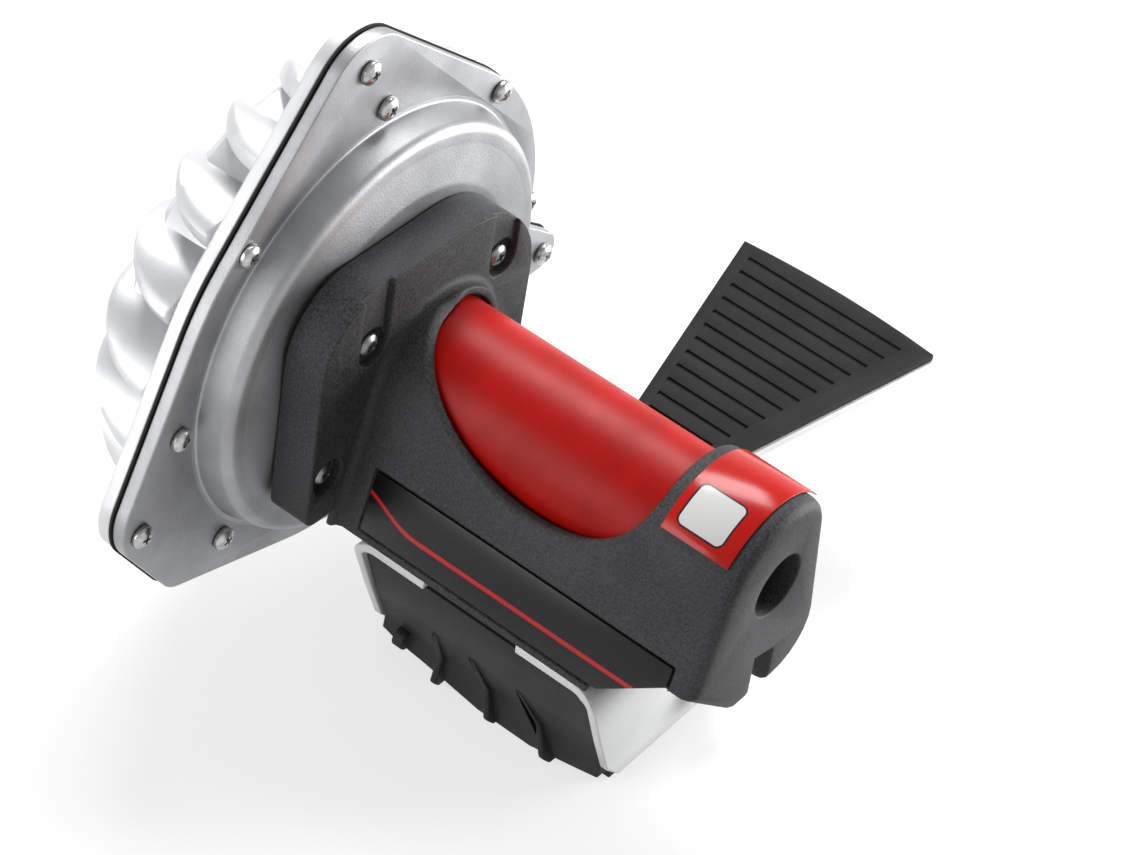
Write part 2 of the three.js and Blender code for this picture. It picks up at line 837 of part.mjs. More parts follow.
function screwPockets() {
  const half = pocketWidth / 2;
  const openX = plateFrontX + cutOver;
  const slots = [upperScrewY, -upperScrewY].map((y) => barX([
    ...arc(y, upperScrewZ, half, 180, 360, smallSteps),
    [y + half, plateTop + cutOver],
    [y - half, plateTop + cutOver],
  ], plateFrontX - slotDepth, openX));
  const pockets = plateScrewPlaces.map(([y, z]) =>
    discX(half, plateFrontX - pocketDepth, openX, y, z, smallSteps * 2));
  const holes = plateScrewPlaces.map(([y, z]) =>
    discX(plateShankRadius + fitGap, plateBackX - cutOver, plateFrontX, y, z, smallSteps));
  return [...slots, ...pockets, ...holes];
}

// The tyre's gap: a scoop that falls from the collar's lip and rises steeply to the end housing.
// At the rear it falls straight down at both ends, after a slanted start at the collar's lip.
function saddleCut() {
  const steps = ringSteps / 3;
  const leftRun = saddleLowX - collarLipX;
  const rightRun = capInnerX - saddleLowX;
  const low = axisHeight + saddleLowZ;
  const left = [];
  const right = [];
  for (let i = 0; i <= steps; i += 1) {
    const share = i / steps;
    left.unshift([saddleLowX - leftRun * share, low + saddleLeftRise * share ** saddleLeftPower]);
    const angle = share * (turn / 4);
    right.push([
      saddleLowX + rightRun * Math.sin(angle),
      low + saddleRightRise * (1 - Math.cos(angle)),
    ]);
  }
  const openZ = axisHeight + plateTop + cutOver;
  const reach = plateRearEdge - plateFrontEdge;
  const scoop = [...left, ...right.slice(1), [capInnerX, openZ], [collarLipX, openZ]];
  const drop = [
    [collarLipX + saddleRearLead, saddleRearFromY],
    [capInnerX, saddleRearFromY],
    [capInnerX, reach],
    [collarLipX, reach],
    [collarLipX, saddleRearFromY + saddleRearRun],
  ];
  return joined([barY(scoop, -reach, reach), barZ(drop, low, openZ)]);
}

function housingBoltHoles() {
  const rise = housingBoltLength - steelThickness;
  return [housingBoltX, -housingBoltX].map((x) =>
    barZ(ring(x, housingBoltY, housingBoltRadius + fitGap, smallSteps),
      axisHeight + bodyBottom - cutOver, axisHeight + bodyBottom + rise + fitGap));
}

// What stays under a plane through a line on the wall, tilted into the wall about that line.
function underTilt(x, v, edgeAngle, tilt) {
  const far = 2 * endReach;
  const keep = onWall([[-far, -far], [far, -far], [far, far], [-far, far]], -far, 0);
  const pivot = new THREE.Vector3(x, leanY * capRadius + leanZ * v,
    axisHeight + leanZ * capRadius - leanY * v);
  const axis = new THREE.Vector3(Math.cos(edgeAngle * degree), leanZ * Math.sin(edgeAngle * degree),
    -leanY * Math.sin(edgeAngle * degree));
  const move = new THREE.Matrix4().makeTranslation(pivot.x, pivot.y, pivot.z)
    .multiply(new THREE.Matrix4().makeRotationAxis(axis.normalize(), -tilt * degree))
    .multiply(new THREE.Matrix4().makeTranslation(-pivot.x, -pivot.y, -pivot.z));
  return keep.transform(move.toArray());
}

// The shallow slanted facet between the saddle and the label recess. It deepens towards the
// end housing and comes back up there on a short slope.
function facetCut() {
  const outline = [
    [facetStartX, facetStartV],
    [capInnerX, facetLowV],
    [capInnerX, facetHighV],
  ];
  const run = capInnerX - facetStartX;
  const rise = facetHighV - facetStartV;
  const edgeAngle = Math.atan2(facetLowV - facetStartV, run) / degree;
  const tilt = Math.atan2(facetDepth, Math.hypot(run, rise)) / degree;
  return without(onWall(outline, -facetDepth, cutOver), [
    underTilt(facetStartX, facetStartV, edgeAngle, tilt),
    underTilt(capInnerX, facetLowV, turn / 4 / degree, facetReturnSlope),
  ]);
}

function labelOutline(margin) {
  const top = labelTopV - margin;
  const low = labelTopV - labelHeight + margin;
  const left = labelStartX + margin;
  const right = labelEndX - margin;
  return [
    [left, low],
    [right - labelCornerRun, low],
    [right, low + labelCornerHeight],
    [right, top],
    [left, top],
  ];
}

function housing() {
  const body = barX(bodyOutline(), plateFrontX - cutOver, capInnerX);
  const whole = joined([plate(), flare(), body, endHousing()]);
  const notchRearY = notchFrontY + notchWidth;
  const notch = barX([
    [notchFrontY + notchTaper, endBottom - cutOver],
    [notchRearY, endBottom - cutOver],
    [notchRearY - notchTaper, notchTopZ - notchTopDrop],
    [notchFrontY, notchTopZ],
  ], endReach - notchDepth, endReach + cutOver);
  return without(whole, [
    saddleCut(),
    discX(troughRadius, rollerStartX - fitGap, capInnerX, 0, 0, ringSteps),
    discX(bearingRadius + fitGap, plateBackX - cutOver, collarLipX, 0, 0, boreSteps),
    discX(bearingRadius + fitGap, capInnerX - fitGap, endBearingX + bearingWidth + fitGap, 0, 0,
      boreSteps),
    discX(accessRadius, endBearingX, endReach + cutOver, 0, 0, boreSteps),
    notch,
    onWall(labelOutline(0), -labelDepth, cutOver),
    facetCut(),
    ...screwPockets(),
    ...housingBoltHoles(),
  ]);
}

function labelStrip() {
  const floor = fitGap - labelDepth;
  return onWall(labelOutline(labelMargin), floor, floor + labelThickness);
}

function capSticker() {
  const inner = capRadius + fitGap;
  const outer = inner + stickerThickness;
  const steps = ringSteps / 2;
  return barX([
    ...arc(0, 0, outer, stickerRearAngle, stickerFrontAngle, steps),
    ...arc(0, 0, inner, stickerFrontAngle, stickerRearAngle, steps),
  ], stickerStartX, stickerEndX);
}

// ---- Bracket and pedal ----

function channelOutline(bottomZ) {
  const outer = bendRadius;
  const inner = bendRadius - steelThickness;
  const high = webTopZ - bendRadius;
  const side = flangeX - bendRadius;
  return [
    [flangeX, bottomZ],
    ...arc(side, high, outer, 0, 90, smallSteps / 2),
    ...arc(-side, high, outer, 90, 180, smallSteps / 2),
    [-flangeX, bottomZ],
    [-flangeInnerX, bottomZ],
    ...arc(-side, high, inner, 180, 90, smallSteps / 2),
    ...arc(side, high, inner, 90, 0, smallSteps / 2),
    [flangeInnerX, bottomZ],
  ];
}

// The side view of the flanges: a curved front edge that falls back to the pivot's eye.
function flangeOutline() {
  return [
    ...arc(pivotY, pivotZ, flangeEyeRadius, flangeEyeFromAngle, flangeEyeToAngle, smallSteps),
    [webRearY, webTopZ - bendRadius],
    [webRearY, webTopZ + cutOver],
    [webFrontY, webTopZ + cutOver],
    [webFrontY, webTopZ - bendRadius / 2],
    [flangeKneeY, flangeKneeZ],
    [flangeToeY, flangeToeZ],
    [flangeHeelY, flangeHeelZ],
  ];
}

// Half the pedal's width at a place along Y.
function pedalHalf(y) {
  const slope = (pedalHalfWidth - tongueHalfWidth) / (pedalEndY - tongueNeckY);
  return y < tongueNeckY ? tongueHalfWidth : tongueHalfWidth + slope * (y - tongueNeckY);
}

function pedalOutline(startY, margin) {
  const steps = 6;
  const end = pedalEndY - margin;
  const wide = pedalHalf(pedalEndY) - margin;
  const bow = [];
  for (let i = 0; i <= steps; i += 1) {
    const share = i / steps;
    const x = wide * (1 - 2 * share);
    bow.push([pedalShift + x, end - pedalBow * (2 * share - 1) ** 2]);
  }
  return [
    [pedalShift - tongueHalfWidth + margin, startY],
    [pedalShift + tongueHalfWidth - margin, startY],
    [pedalShift + tongueHalfWidth - margin, tongueNeckY],
    ...bow,
    [pedalShift - tongueHalfWidth + margin, tongueNeckY],
  ];
}

// Turns a level pedal piece up about the web's rear edge.
function raised(solid) {
  return solid.translate([0, -webRearY, -webTopZ]).rotate([pedalRise, 0, 0])
    .translate([0, webRearY, webTopZ]);
}

const padScrewPlaces = [padScrewNearY, padScrewFarY];

function bracket() {
  const bottomZ = pivotZ - flangeEyeRadius;
  const channel = barY(channelOutline(bottomZ - cutOver), webFrontY, pivotY + flangeEyeRadius);
  const side = lowBarX(flangeOutline(), -flangeX - cutOver, flangeX + cutOver);
  const tongueStartY = webRearY - steelThickness;
  const tongue = raised(barZ(pedalOutline(tongueStartY, 0), webUnderZ, webTopZ));
  const trimmed = tongue.subtract(lowBarX([
    [tongueStartY - cutOver, 0],
    [webRearY - steelThickness / 2, 0],
    [webRearY - steelThickness / 2, axisHeight],
    [tongueStartY - cutOver, axisHeight],
  ], -flangeX, flangeX));
  const notch = barZ([
    [notchLeftX, webFrontY - cutOver],
    [notchRightX, webFrontY - cutOver],
    [notchRightX, webFrontY + webNotchDepth],
    [notchLeftX, webFrontY + webNotchDepth],
  ], webUnderZ - cutOver, webTopZ + cutOver);
  const eye = lowBarX(ring(pivotY, pivotZ, pivotBoltRadius + fitGap, smallSteps * 2),
    -flangeX - cutOver, flangeX + cutOver);
  const boltHoles = [housingBoltX, -housingBoltX].map((x) =>
    barZ(ring(x, housingBoltY, housingBoltRadius + fitGap, smallSteps),
      webUnderZ - cutOver, webTopZ + cutOver));
  const padHoles = padScrewPlaces.map((y) =>
    raised(barZ(ring(pedalShift, y, padScrewRadius + fitGap, smallSteps),
      webUnderZ - cutOver, webTopZ + cutOver)));
  return without(joined([channel.intersect(side), trimmed]),
    [notch, eye, ...boltHoles, ...padHoles]);
}

const padUnderZ = webTopZ + fitGap;
const padTopZ = padUnderZ + padThickness;

function pedalPad() {
  const pad = barZ(pedalOutline(padStartY, padInset), padUnderZ, padTopZ);
  const grooves = [];
  for (let i = 0; i < grooveCount; i += 1) {
    const y = pedalEndY - firstGrooveInset - groovePitch * i;
    const half = pedalHalf(y) - padInset;
    const left = pedalShift - half + grooveLeftInset;
    const right = pedalShift + half - grooveRightInset;
    grooves.push(barZ([
      [left, y - grooveWidth / 2],
      [right, y - grooveWidth / 2],
      [right, y + grooveWidth / 2],
      [left, y + grooveWidth / 2],
    ], padTopZ - grooveDepth, padTopZ + cutOver));
  }
  const blind = padScrewPlaces.map((y) =>
    barZ(ring(pedalShift, y, padScrewRadius + fitGap, smallSteps),
      padUnderZ - cutOver, padUnderZ + padThickness - grooveDepth - fitGap));
  return raised(without(pad, [...grooves, ...blind]));
}

function padScrew(y) {
  const headTopZ = webUnderZ - fitGap;
  const tipZ = padUnderZ + padThickness - grooveDepth - 2 * fitGap;
  return raised(joined([
    barZ(ring(pedalShift, y, padScrewHeadRadius, smallSteps), headTopZ - padScrewHeadHeight, headTopZ),
    barZ(ring(pedalShift, y, padScrewRadius, smallSteps), headTopZ - fitGap, tipZ),
  ]));
}

// ---- Hinge block ----

// The block's front face follows the flanges' front edge, set back by a small inset.
function blockFace() {
  return [
    [blockFrontTopY, webUnderZ - fitGap],
    [flangeKneeY + blockFaceInset, flangeKneeZ],
    [flangeToeY + blockFaceInset, flangeToeZ],
    [blockFootY, blockFootZ],
  ];
}

// One rib: it leaves the face at its top, leans sideways and stands out the most at its foot.
function blockRib(topX, run) {
  const [kneeY, kneeZ] = blockFace()[1];
  const [toeY, toeZ] = blockFace()[2];
  const startY = kneeY + ((toeY - kneeY) * (kneeZ - blockRibTopZ)) / (kneeZ - toeZ);
  const rib = lowBarX([
    [startY - blockRibTopReach, blockRibTopZ],
    [toeY - blockRibReach / 2, toeZ],
    [blockFootY - blockRibReach, blockRibLowZ + blockRibWidth],
    [blockFootY - blockRibReach + blockRibWidth, blockRibLowZ],
    [blockSkirtRearY, blockRibLowZ],
    [blockSkirtRearY, blockRibTopZ],
  ], topX - blockRibWidth / 2, topX + blockRibWidth / 2);
  const lean = -run / (blockRibTopZ - blockRibLowZ);
  return rib.transform([
    1, 0, 0, 0,
    0, 1, 0, 0,
    lean, 0, 1, 0,
    -lean * blockRibTopZ, 0, 0, 1,
  ]);
}

// The front skirt's lower edge: lowest in its middle and rising to both flanges.
function skirtCuts(width) {
  const left = barY([
    [blockSkirtLowLeftX, 0],
    [-width - cutOver, blockSkirtLeftRise],
    [-width - cutOver, -cutOver],
    [blockSkirtLowLeftX, -cutOver],
  ], blockFrontTopY, blockSkirtRearY);
  const right = barY([
    [blockSkirtLowRightX, -cutOver],
    [width + cutOver, -cutOver],
    [width + cutOver, blockSkirtRightRise],
    [blockSkirtLowRightX, 0],
  ], blockFrontTopY, blockSkirtRearY);
  return [left, right];
}

function hingeBlock() {
  const width = flangeInnerX - fitGap;
  const lipZ = webUnderZ - fitGap;
  const shelfZ = pivotZ + (webUnderZ - pivotZ) * blockShelfShare;
  const outline = [
    ...blockFace(),
    [blockFootY, 0],
    [blockRearY, 0],
    [blockRearY, shelfZ - blockRearDrop],
    [blockRearY - blockRearRun, shelfZ],
    [blockLipRearY, shelfZ],
    [blockLipRearY, lipZ],
  ];
  const round = bendRadius - steelThickness;
  const cornerX = flangeInnerX - round;
  const silhouette = barY([
    [-width, -cutOver],
    [width, -cutOver],
    ...arc(cornerX, webUnderZ - round, round - fitGap, 0, 90, smallSteps / 3),
    ...arc(-cornerX, webUnderZ - round, round - fitGap, 90, 180, smallSteps / 3),
  ], blockFrontTopY - cutOver, blockRearY + cutOver);
  const whole = lowBarX(outline, -width, width).intersect(silhouette);
  const core = without(whole, skirtCuts(width));
  const ribs = blockRibTopXs.map((x, i) => blockRib(x, blockRibRuns[i]));
  const peg = lowBarX(ring(flangeToeY, blockPegZ, blockPegRadius, smallSteps),
    blockPegX - blockPegLength / 2, blockPegX + blockPegLength / 2);
  const pivotHole = lowBarX(ring(pivotY, pivotZ, pivotBoltRadius + fitGap, smallSteps * 2),
    -width - cutOver, width + cutOver);
  return joined([core, ...ribs, peg]).subtract(pivotHole);
}

// ---- Bolts ----

function hexagon(centreX, centreY, across) {
  return arc(centreX, centreY, across / 2 / Math.cos(30 * degree), 0, 360, 6).slice(0, -1);
}

const washerInnerX = flangeX + fitGap;
const washerOuterX = washerInnerX + washerThickness;

function washer(side) {
  const hole = ring(pivotY, pivotZ, pivotBoltRadius + fitGap, smallSteps * 2);
  const outer = ring(pivotY, pivotZ, washerRadius, smallSteps * 2);
  const from = side > 0 ? washerInnerX : -washerOuterX;
  return lowBarX(outer, from, from + washerThickness, [hole.reverse()]);
}

function pivotBolt() {
  const headX = washerOuterX + fitGap;
  const endX = -washerOuterX - fitGap - nutHeight - boltPastNut;
  return joined([
    lowBarX(hexagon(pivotY, pivotZ, boltHeadAcross), headX, headX + boltHeadHeight),
    lowBarX(ring(pivotY, pivotZ, pivotBoltRadius, smallSteps * 2), endX, headX + fitGap),
  ]);
}

function pivotNut() {
  const faceX = -washerOuterX - fitGap;
  const hole = ring(pivotY, pivotZ, pivotBoltRadius + fitGap, smallSteps * 2);
  return lowBarX(hexagon(pivotY, pivotZ, boltHeadAcross), faceX - nutHeight, faceX, [hole.reverse()]);
}

function housingBolt(x) {
  const headTopZ = webUnderZ - fitGap;
  return joined([
    barZ(hexagon(x, housingBoltY, housingBoltAcross), headTopZ - housingBoltHead, headTopZ),
    barZ(ring(x, housingBoltY, housingBoltRadius, smallSteps), headTopZ - fitGap,
      headTopZ + housingBoltLength),
  ]);
}

// ---- The assembly ----

const unit = new THREE.Group();

const frameSide = new THREE.Group();
frameSide.add(meshOf('hinge_block', hingeBlock(), 'padBlack'));
frameSide.add(meshOf('pivot_bolt', pivotBolt(), 'screwSteel'));
frameSide.add(meshOf('pivot_nut', pivotNut(), 'screwSteel'));
frameSide.add(meshOf('pivot_washer_end', washer(1), 'screwSteel'));
frameSide.add(meshOf('pivot_washer_brake', washer(-1), 'screwSteel'));
unit.add(frameSide);

const swinging = new THREE.Group();
swinging.add(meshOf('bracket', bracket(), 'bracketSilver'));
swinging.add(meshOf('pedal_pad', pedalPad(), 'padBlack'));
padScrewPlaces.forEach((y, i) => {
  swinging.add(meshOf(`pad_screw_${i + 1}`, padScrew(y), 'screwSteel'));
});
swinging.add(meshOf('housing', housing(), 'housingBlack'));
[housingBoltX, -housingBoltX].forEach((x, i) => {
  swinging.add(meshOf(`housing_bolt_${i + 1}`, housingBolt(x), 'screwSteel'));
});
swinging.add(meshOf('label_strip', labelStrip(), 'labelDark'));
swinging.add(meshOf('cap_sticker', capSticker(), 'stickerRed'));
swinging.add(meshOf('brake_cover', frontCover(), 'coverAlloy'));
swinging.add(meshOf('brake_gasket', gasket(), 'gasketBlack'));
swinging.add(meshOf('finned_casing', finnedCasing(), 'castAlloy'));
rimScrewPlaces.forEach(([y, z], i) => {
  swinging.add(meshOf(`rim_screw_${i + 1}`, crossScrew(flangeFaceX + fitGap, y, z, rimHeadRadius,
    rimHeadHeight, rimShankRadius, rimShankLength), 'screwSteel'));
});
lobeScrewPlaces.forEach(([y, z], i) => {
  swinging.add(meshOf(`lobe_screw_${i + 1}`, crossScrew(flangeFaceX + fitGap, y, z, rimHeadRadius,
    rimHeadHeight, rimShankRadius, rimShankLength), 'screwSteel'));
});
plateScrewPlaces.forEach(([y, z], i) => {
  swinging.add(meshOf(`plate_screw_${i + 1}`, crossScrew(plateFrontX - pocketDepth + fitGap, y, z,
    rimHeadRadius, rimHeadHeight, plateShankRadius, plateShankLength), 'screwSteel'));
});
swinging.add(meshOf('shaft_seal', shaftSeal(), 'sealBlack'));
swinging.add(meshOf('bearing_end', tube(shaftBore, bearingRadius, endBearingX,
  endBearingX + bearingWidth, boreSteps), 'sealBlack'));
swinging.add(meshOf('bearing_plate', tube(shaftBore, bearingRadius, plateBearingX,
  plateBearingX + bearingWidth, boreSteps), 'sealBlack'));
unit.add(swinging);

const rotor = new THREE.Group();
rotor.add(meshOf('roller_sleeve', tube(sleeveInnerRadius, rollerRadius, rollerStartX, rollerEndX,
  ringSteps), 'rollerRed'));
rotor.add(meshOf('roller_core', tube(shaftBore, coreRadius, rollerStartX, rollerEndX, ringSteps),
  'coreAlloy'));
rotor.add(meshOf('roller_shaft', shaft(), 'shaftSteel'));
rotor.add(meshOf('impeller', impeller(), 'coreAlloy'));
unit.add(rotor);

export default unit;
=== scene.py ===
import math

import bmesh
import bpy
from mathutils import Matrix, Vector


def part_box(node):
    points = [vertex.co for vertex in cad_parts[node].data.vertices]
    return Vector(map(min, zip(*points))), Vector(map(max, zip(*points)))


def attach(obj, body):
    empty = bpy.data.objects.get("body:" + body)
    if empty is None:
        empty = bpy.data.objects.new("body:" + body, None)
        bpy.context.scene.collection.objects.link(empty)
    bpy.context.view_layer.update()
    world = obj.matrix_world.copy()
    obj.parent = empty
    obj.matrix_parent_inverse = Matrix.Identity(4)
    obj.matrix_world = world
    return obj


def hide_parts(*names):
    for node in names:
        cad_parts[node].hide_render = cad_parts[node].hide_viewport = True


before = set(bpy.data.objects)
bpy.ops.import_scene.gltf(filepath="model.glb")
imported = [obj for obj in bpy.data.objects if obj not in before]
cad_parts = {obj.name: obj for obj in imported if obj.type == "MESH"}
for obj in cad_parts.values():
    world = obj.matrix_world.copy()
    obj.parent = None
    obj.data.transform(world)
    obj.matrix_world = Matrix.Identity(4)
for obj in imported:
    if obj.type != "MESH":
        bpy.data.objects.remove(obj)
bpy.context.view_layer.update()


# Hinge block: one black glass-filled nylon moulding that hangs between the bracket's flanges.
# The pivot bolt runs through it, its foot lies on the trainer's frame, and three slim ribs and a
# round peg stand on its front face. The moulding's corners are softened as a tool leaves them.
mm = 0.001
weld = 2e-6            # metres; corners nearer than this are one corner
sliver = 5e-6          # metres; shorter edges are taken out after the rounding
flat_fold = 0.4        # degrees; triangles that meet flatter than this are one face
sharp_fold = 28        # degrees; sharper edges are rounded
smooth_fold = 35       # degrees; folds up to this one are shaded smooth
short_lip_edge = 0.7   # mm; a lip's shorter edges are drawn together before the rounding


def linear(hex_colour):
    """An sRGB hex colour as the linear colour that the shader nodes take."""
    parts = [int(hex_colour[i:i + 2], 16) / 255 for i in (1, 3, 5)]
    return [c / 12.92 if c <= 0.04045 else ((c + 0.055) / 1.055) ** 2.4 for c in parts] + [1]


def added(tree, kind, settings=None, inputs=None, links=None):
    """Adds one shader node with its settings, its input values and the sockets that feed it."""
    node = tree.nodes.new(kind)
    for name, value in (settings or {}).items():
        setattr(node, name, value)
    for name, value in (inputs or {}).items():
        node.inputs[name].default_value = value
    for name, socket in (links or {}).items():
        tree.links.new(socket, node.inputs[name])
    return node


def finish_named(name, colour, metallic, roughness, shader_values=None):
    """A new material, with its node tree, its shader and the object coordinates' socket."""
    material = bpy.data.materials.new(name)
    material.use_nodes = True
    tree = material.node_tree
    tree.nodes.clear()
    shader = added(tree, "ShaderNodeBsdfPrincipled", inputs={
        "Base Color": linear(colour), "Metallic": metallic, "Roughness": roughness,
        **(shader_values or {})})
    added(tree, "ShaderNodeOutputMaterial", links={"Surface": shader.outputs["BSDF"]})
    place = added(tree, "ShaderNodeTexCoord").outputs["Object"]
    return material, tree, shader, place


def noise(tree, place, size, detail):
    """A noise whose patches are about that many mm across."""
    return added(tree, "ShaderNodeTexNoise", inputs={"Scale": 1 / (size * mm), "Detail": detail},
                 links={"Vector": place}).outputs["Fac"]


def tinted(tree, shader, factor, low, dark, high, light):
    """The shader's colour runs from dark, where the factor is low, to light, where it is high."""
    tint = added(tree, "ShaderNodeValToRGB", links={"Fac": factor})
    for stop, position, colour in ((0, low, dark), (1, high, light)):
        tint.color_ramp.elements[stop].position = position
        tint.color_ramp.elements[stop].color = linear(colour)
    tree.links.new(tint.outputs["Color"], shader.inputs["Base Color"])


def glossed(tree, shader, factor, first, last):
    """The shader's roughness runs from the first value to the last with the factor."""
    gloss = added(tree, "ShaderNodeMapRange", inputs={"To Min": first, "To Max": last},
                  links={"Value": factor})
    tree.links.new(gloss.outputs["Result"], shader.inputs["Roughness"])


def embossed(tree, shader, height, strength, depth):
    """The shader's surface gets a fine relief of that many mm."""
    relief = added(tree, "ShaderNodeBump", inputs={"Strength": strength, "Distance": depth * mm},
                   links={"Height": height})
    tree.links.new(relief.outputs["Normal"], shader.inputs["Normal"])


def only(piece):
    """Makes the piece the one selected and active object."""
    bpy.ops.object.select_all(action="DESELECT")
    piece.select_set(True)
    bpy.context.view_layer.objects.active = piece


def select_where(piece, mode, wanted):
    """Selects the edges or faces of the piece in edit mode that the test accepts."""
    bpy.ops.mesh.select_mode(type=mode)
    bpy.ops.mesh.select_all(action="DESELECT")
    mesh = bmesh.from_edit_mesh(piece.data)
    for part in {"EDGE": mesh.edges, "FACE": mesh.faces}[mode]:
        if wanted(part):
            part.select_set(True)
    mesh.select_flush_mode()
    bmesh.update_edit_mesh(piece.data)


def applied(piece, kind, **settings):
    """Adds a modifier and applies it."""
    only(piece)
    modifier = piece.modifiers.new(kind, kind)
    for name, value in settings.items():
        setattr(modifier, name, value)
    bpy.ops.object.modifier_apply(modifier=modifier.name)


def smoothed(piece, fold=smooth_fold):
    """Shades the piece smooth, apart from folds sharper than that many degrees."""
    only(piece)
    bpy.ops.object.shade_smooth_by_angle(angle=math.radians(fold))


def softened(node, name, edge, lip=None, crease=None):
    """A moulding made from a copy of a CAD node: its triangles merged, its edges rounded.

    A lip loses its shortest edges first, so that it rounds evenly. A crease stays a crisp fold.
    """
    piece = bpy.data.objects.new(name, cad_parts[node].data.copy())
    bpy.context.scene.collection.objects.link(piece)
    only(piece)
    bpy.ops.object.mode_set(mode="EDIT")
    bpy.ops.mesh.select_all(action="SELECT")
    bpy.ops.mesh.remove_doubles(threshold=weld)
    bpy.ops.mesh.dissolve_limited(angle_limit=math.radians(flat_fold))
    if lip:
        select_where(piece, "EDGE",
                     lambda part: lip(part) and part.calc_length() < short_lip_edge * mm)
        bpy.ops.mesh.merge(type="COLLAPSE")
    bpy.ops.object.mode_set(mode="OBJECT")
    applied(piece, "BEVEL", width=edge * mm, segments=2, limit_method="ANGLE",
            angle_limit=math.radians(sharp_fold), use_clamp_overlap=False, harden_normals=False)
    bpy.ops.object.mode_set(mode="EDIT")
    bpy.ops.mesh.select_all(action="SELECT")
    bpy.ops.mesh.dissolve_degenerate(threshold=sliver)
    bpy.ops.object.mode_set(mode="OBJECT")
    smoothed(piece)
    if crease:
        bpy.ops.object.mode_set(mode="EDIT")
        select_where(piece, "EDGE", crease)
        bpy.ops.mesh.mark_sharp()
        bpy.ops.object.mode_set(mode="OBJECT")
    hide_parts(node)
    return piece


def dressed(piece, material, body):
    """Gives the piece its material and its body."""
    piece.data.materials.clear()
    piece.data.materials.append(material)
    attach(piece, body)


# Glass-filled nylon, spark-textured: a dark grey with a dull sheen, a fine pitted grain and
# faint lighter patches where hands and dust have rubbed it.
nylon_texture, nylon, nylon_shader, place = finish_named(
    "moulded_glass_filled_nylon", "#1f2022", 0.0, 0.62, {"IOR": 1.53, "Specular IOR Level": 0.28})
grain = noise(nylon, place, 0.9, 3.0)
tinted(nylon, nylon_shader, noise(nylon, place, 22, 2.0), 0.35, "#1b1c1d", 0.7, "#262729")
glossed(nylon, nylon_shader, grain, 0.54, 0.74)
embossed(nylon, nylon_shader, grain, 0.5, 0.14)

hinge_moulding = softened("hinge_block", "hinge_block_moulding", 0.5)
dressed(hinge_moulding, nylon_texture, "base")


# Pivot: an M8 zinc-plated bolt with two turned washers and a nut. It runs through the
# bracket's flanges and the hinge block, and the whole unit swings on it.
def plated_steel(name, dark, light, rough):
    """A plated steel finish: its tone and gloss vary where tools and fingers have worn it."""
    finish, zinc, zinc_shader, place = finish_named(name, light, 1.0, rough)
    wear = noise(zinc, place, 1.6, 4.0)
    glossed(zinc, zinc_shader, wear, rough - 0.1, rough + 0.1)
    tinted(zinc, zinc_shader, wear, 0.3, dark, 0.7, light)
    embossed(zinc, zinc_shader, wear, 0.2, 0.05)
    return finish


zinc_plate = plated_steel("bright_zinc_plated_steel", "#a2a3a4", "#c9c9c8", 0.28)

for node in ("pivot_bolt", "pivot_nut", "pivot_washer_end", "pivot_washer_brake"):
    pivot_piece = softened(node, node + "_plated", 0.35)
    dressed(pivot_piece, zinc_plate, "base")


# Bracket: 3 mm steel sheet, cut, notched and bent over its two long edges, then powder coated.
# It carries the housing on its web, swings on the pivot, and its rear tongue lies under the pad.
# The coat is pale, with the faint orange peel and clouds of baked powder.
powder_coat, coat, coat_shader, place = finish_named(
    "pale_powder_coated_steel", "#e6e7e9", 0.0, 0.34, {"IOR": 1.5})
tinted(coat, coat_shader, noise(coat, place, 30, 3.0), 0.3, "#e4e5e6", 0.7, "#f3f4f4")
embossed(coat, coat_shader, noise(coat, place, 1.8, 2.0), 0.25, 0.08)

steel_bracket = softened("bracket", "steel_bracket", 0.45)
dressed(steel_bracket, powder_coat, "unit")


# Pedal pad: black rubbery plastic with moulded cross grooves, bowed like the tongue under it
# and held by two screws. Feet scuff its top grey.
scuffed_pad, pad, pad_shader, place = finish_named(
    "scuffed_black_pad_plastic", "#242526", 0.0, 0.74, {"IOR": 1.5, "Specular IOR Level": 0.22})
tinted(pad, pad_shader, noise(pad, place, 14, 5.0), 0.3, "#191a1b", 0.72, "#282829")
embossed(pad, pad_shader, noise(pad, place, 0.8, 4.0), 0.6, 0.15)

pedal_cover = softened("pedal_pad", "pedal_cover_pad", 0.3)
dressed(pedal_cover, scuffed_pad, "unit")
for node in ("pad_screw_1", "pad_screw_2"):
    pad_fixing = softened(node, node + "_plated", 0.25)
    dressed(pad_fixing, zinc_plate, "unit")


# Saddle housing: one large black moulding, with the plate on the brake, the collar, the
# saddle that the tyre runs in, the front wall with its label recess, and the end housing.
# Its tool is spark-eroded, so every face has a fine even grain with soft dusty patches.
grained_housing, shell, shell_shader, place = finish_named(
    "spark_textured_black_plastic", "#242527", 0.0, 0.6, {"IOR": 1.5, "Specular IOR Level": 0.3})
etched = noise(shell, place, 0.7, 3.0)
broad = noise(shell, place, 26, 2.0)
dust = added(shell, "ShaderNodeMath", {"operation": "MULTIPLY_ADD"}, {1: 0.25},
             {0: broad, 2: etched}).outputs["Value"]
tinted(shell, shell_shader, dust, 0.46, "#1f2022", 0.8, "#47484a")
glossed(shell, shell_shader, etched, 0.46, 0.76)
embossed(shell, shell_shader, etched, 0.7, 0.16)

axis_height = 96                          # mm; the roller's axis above the hinge block's foot
saddle_left, saddle_right = -48.3, 41.8   # mm; the tyre's cutout along X, with a little room
lip_reach, lip_bottom = 33, 88            # mm; its lip lies this near to the axis and this high
square = 0.02                             # cosine under which a face runs along an axis


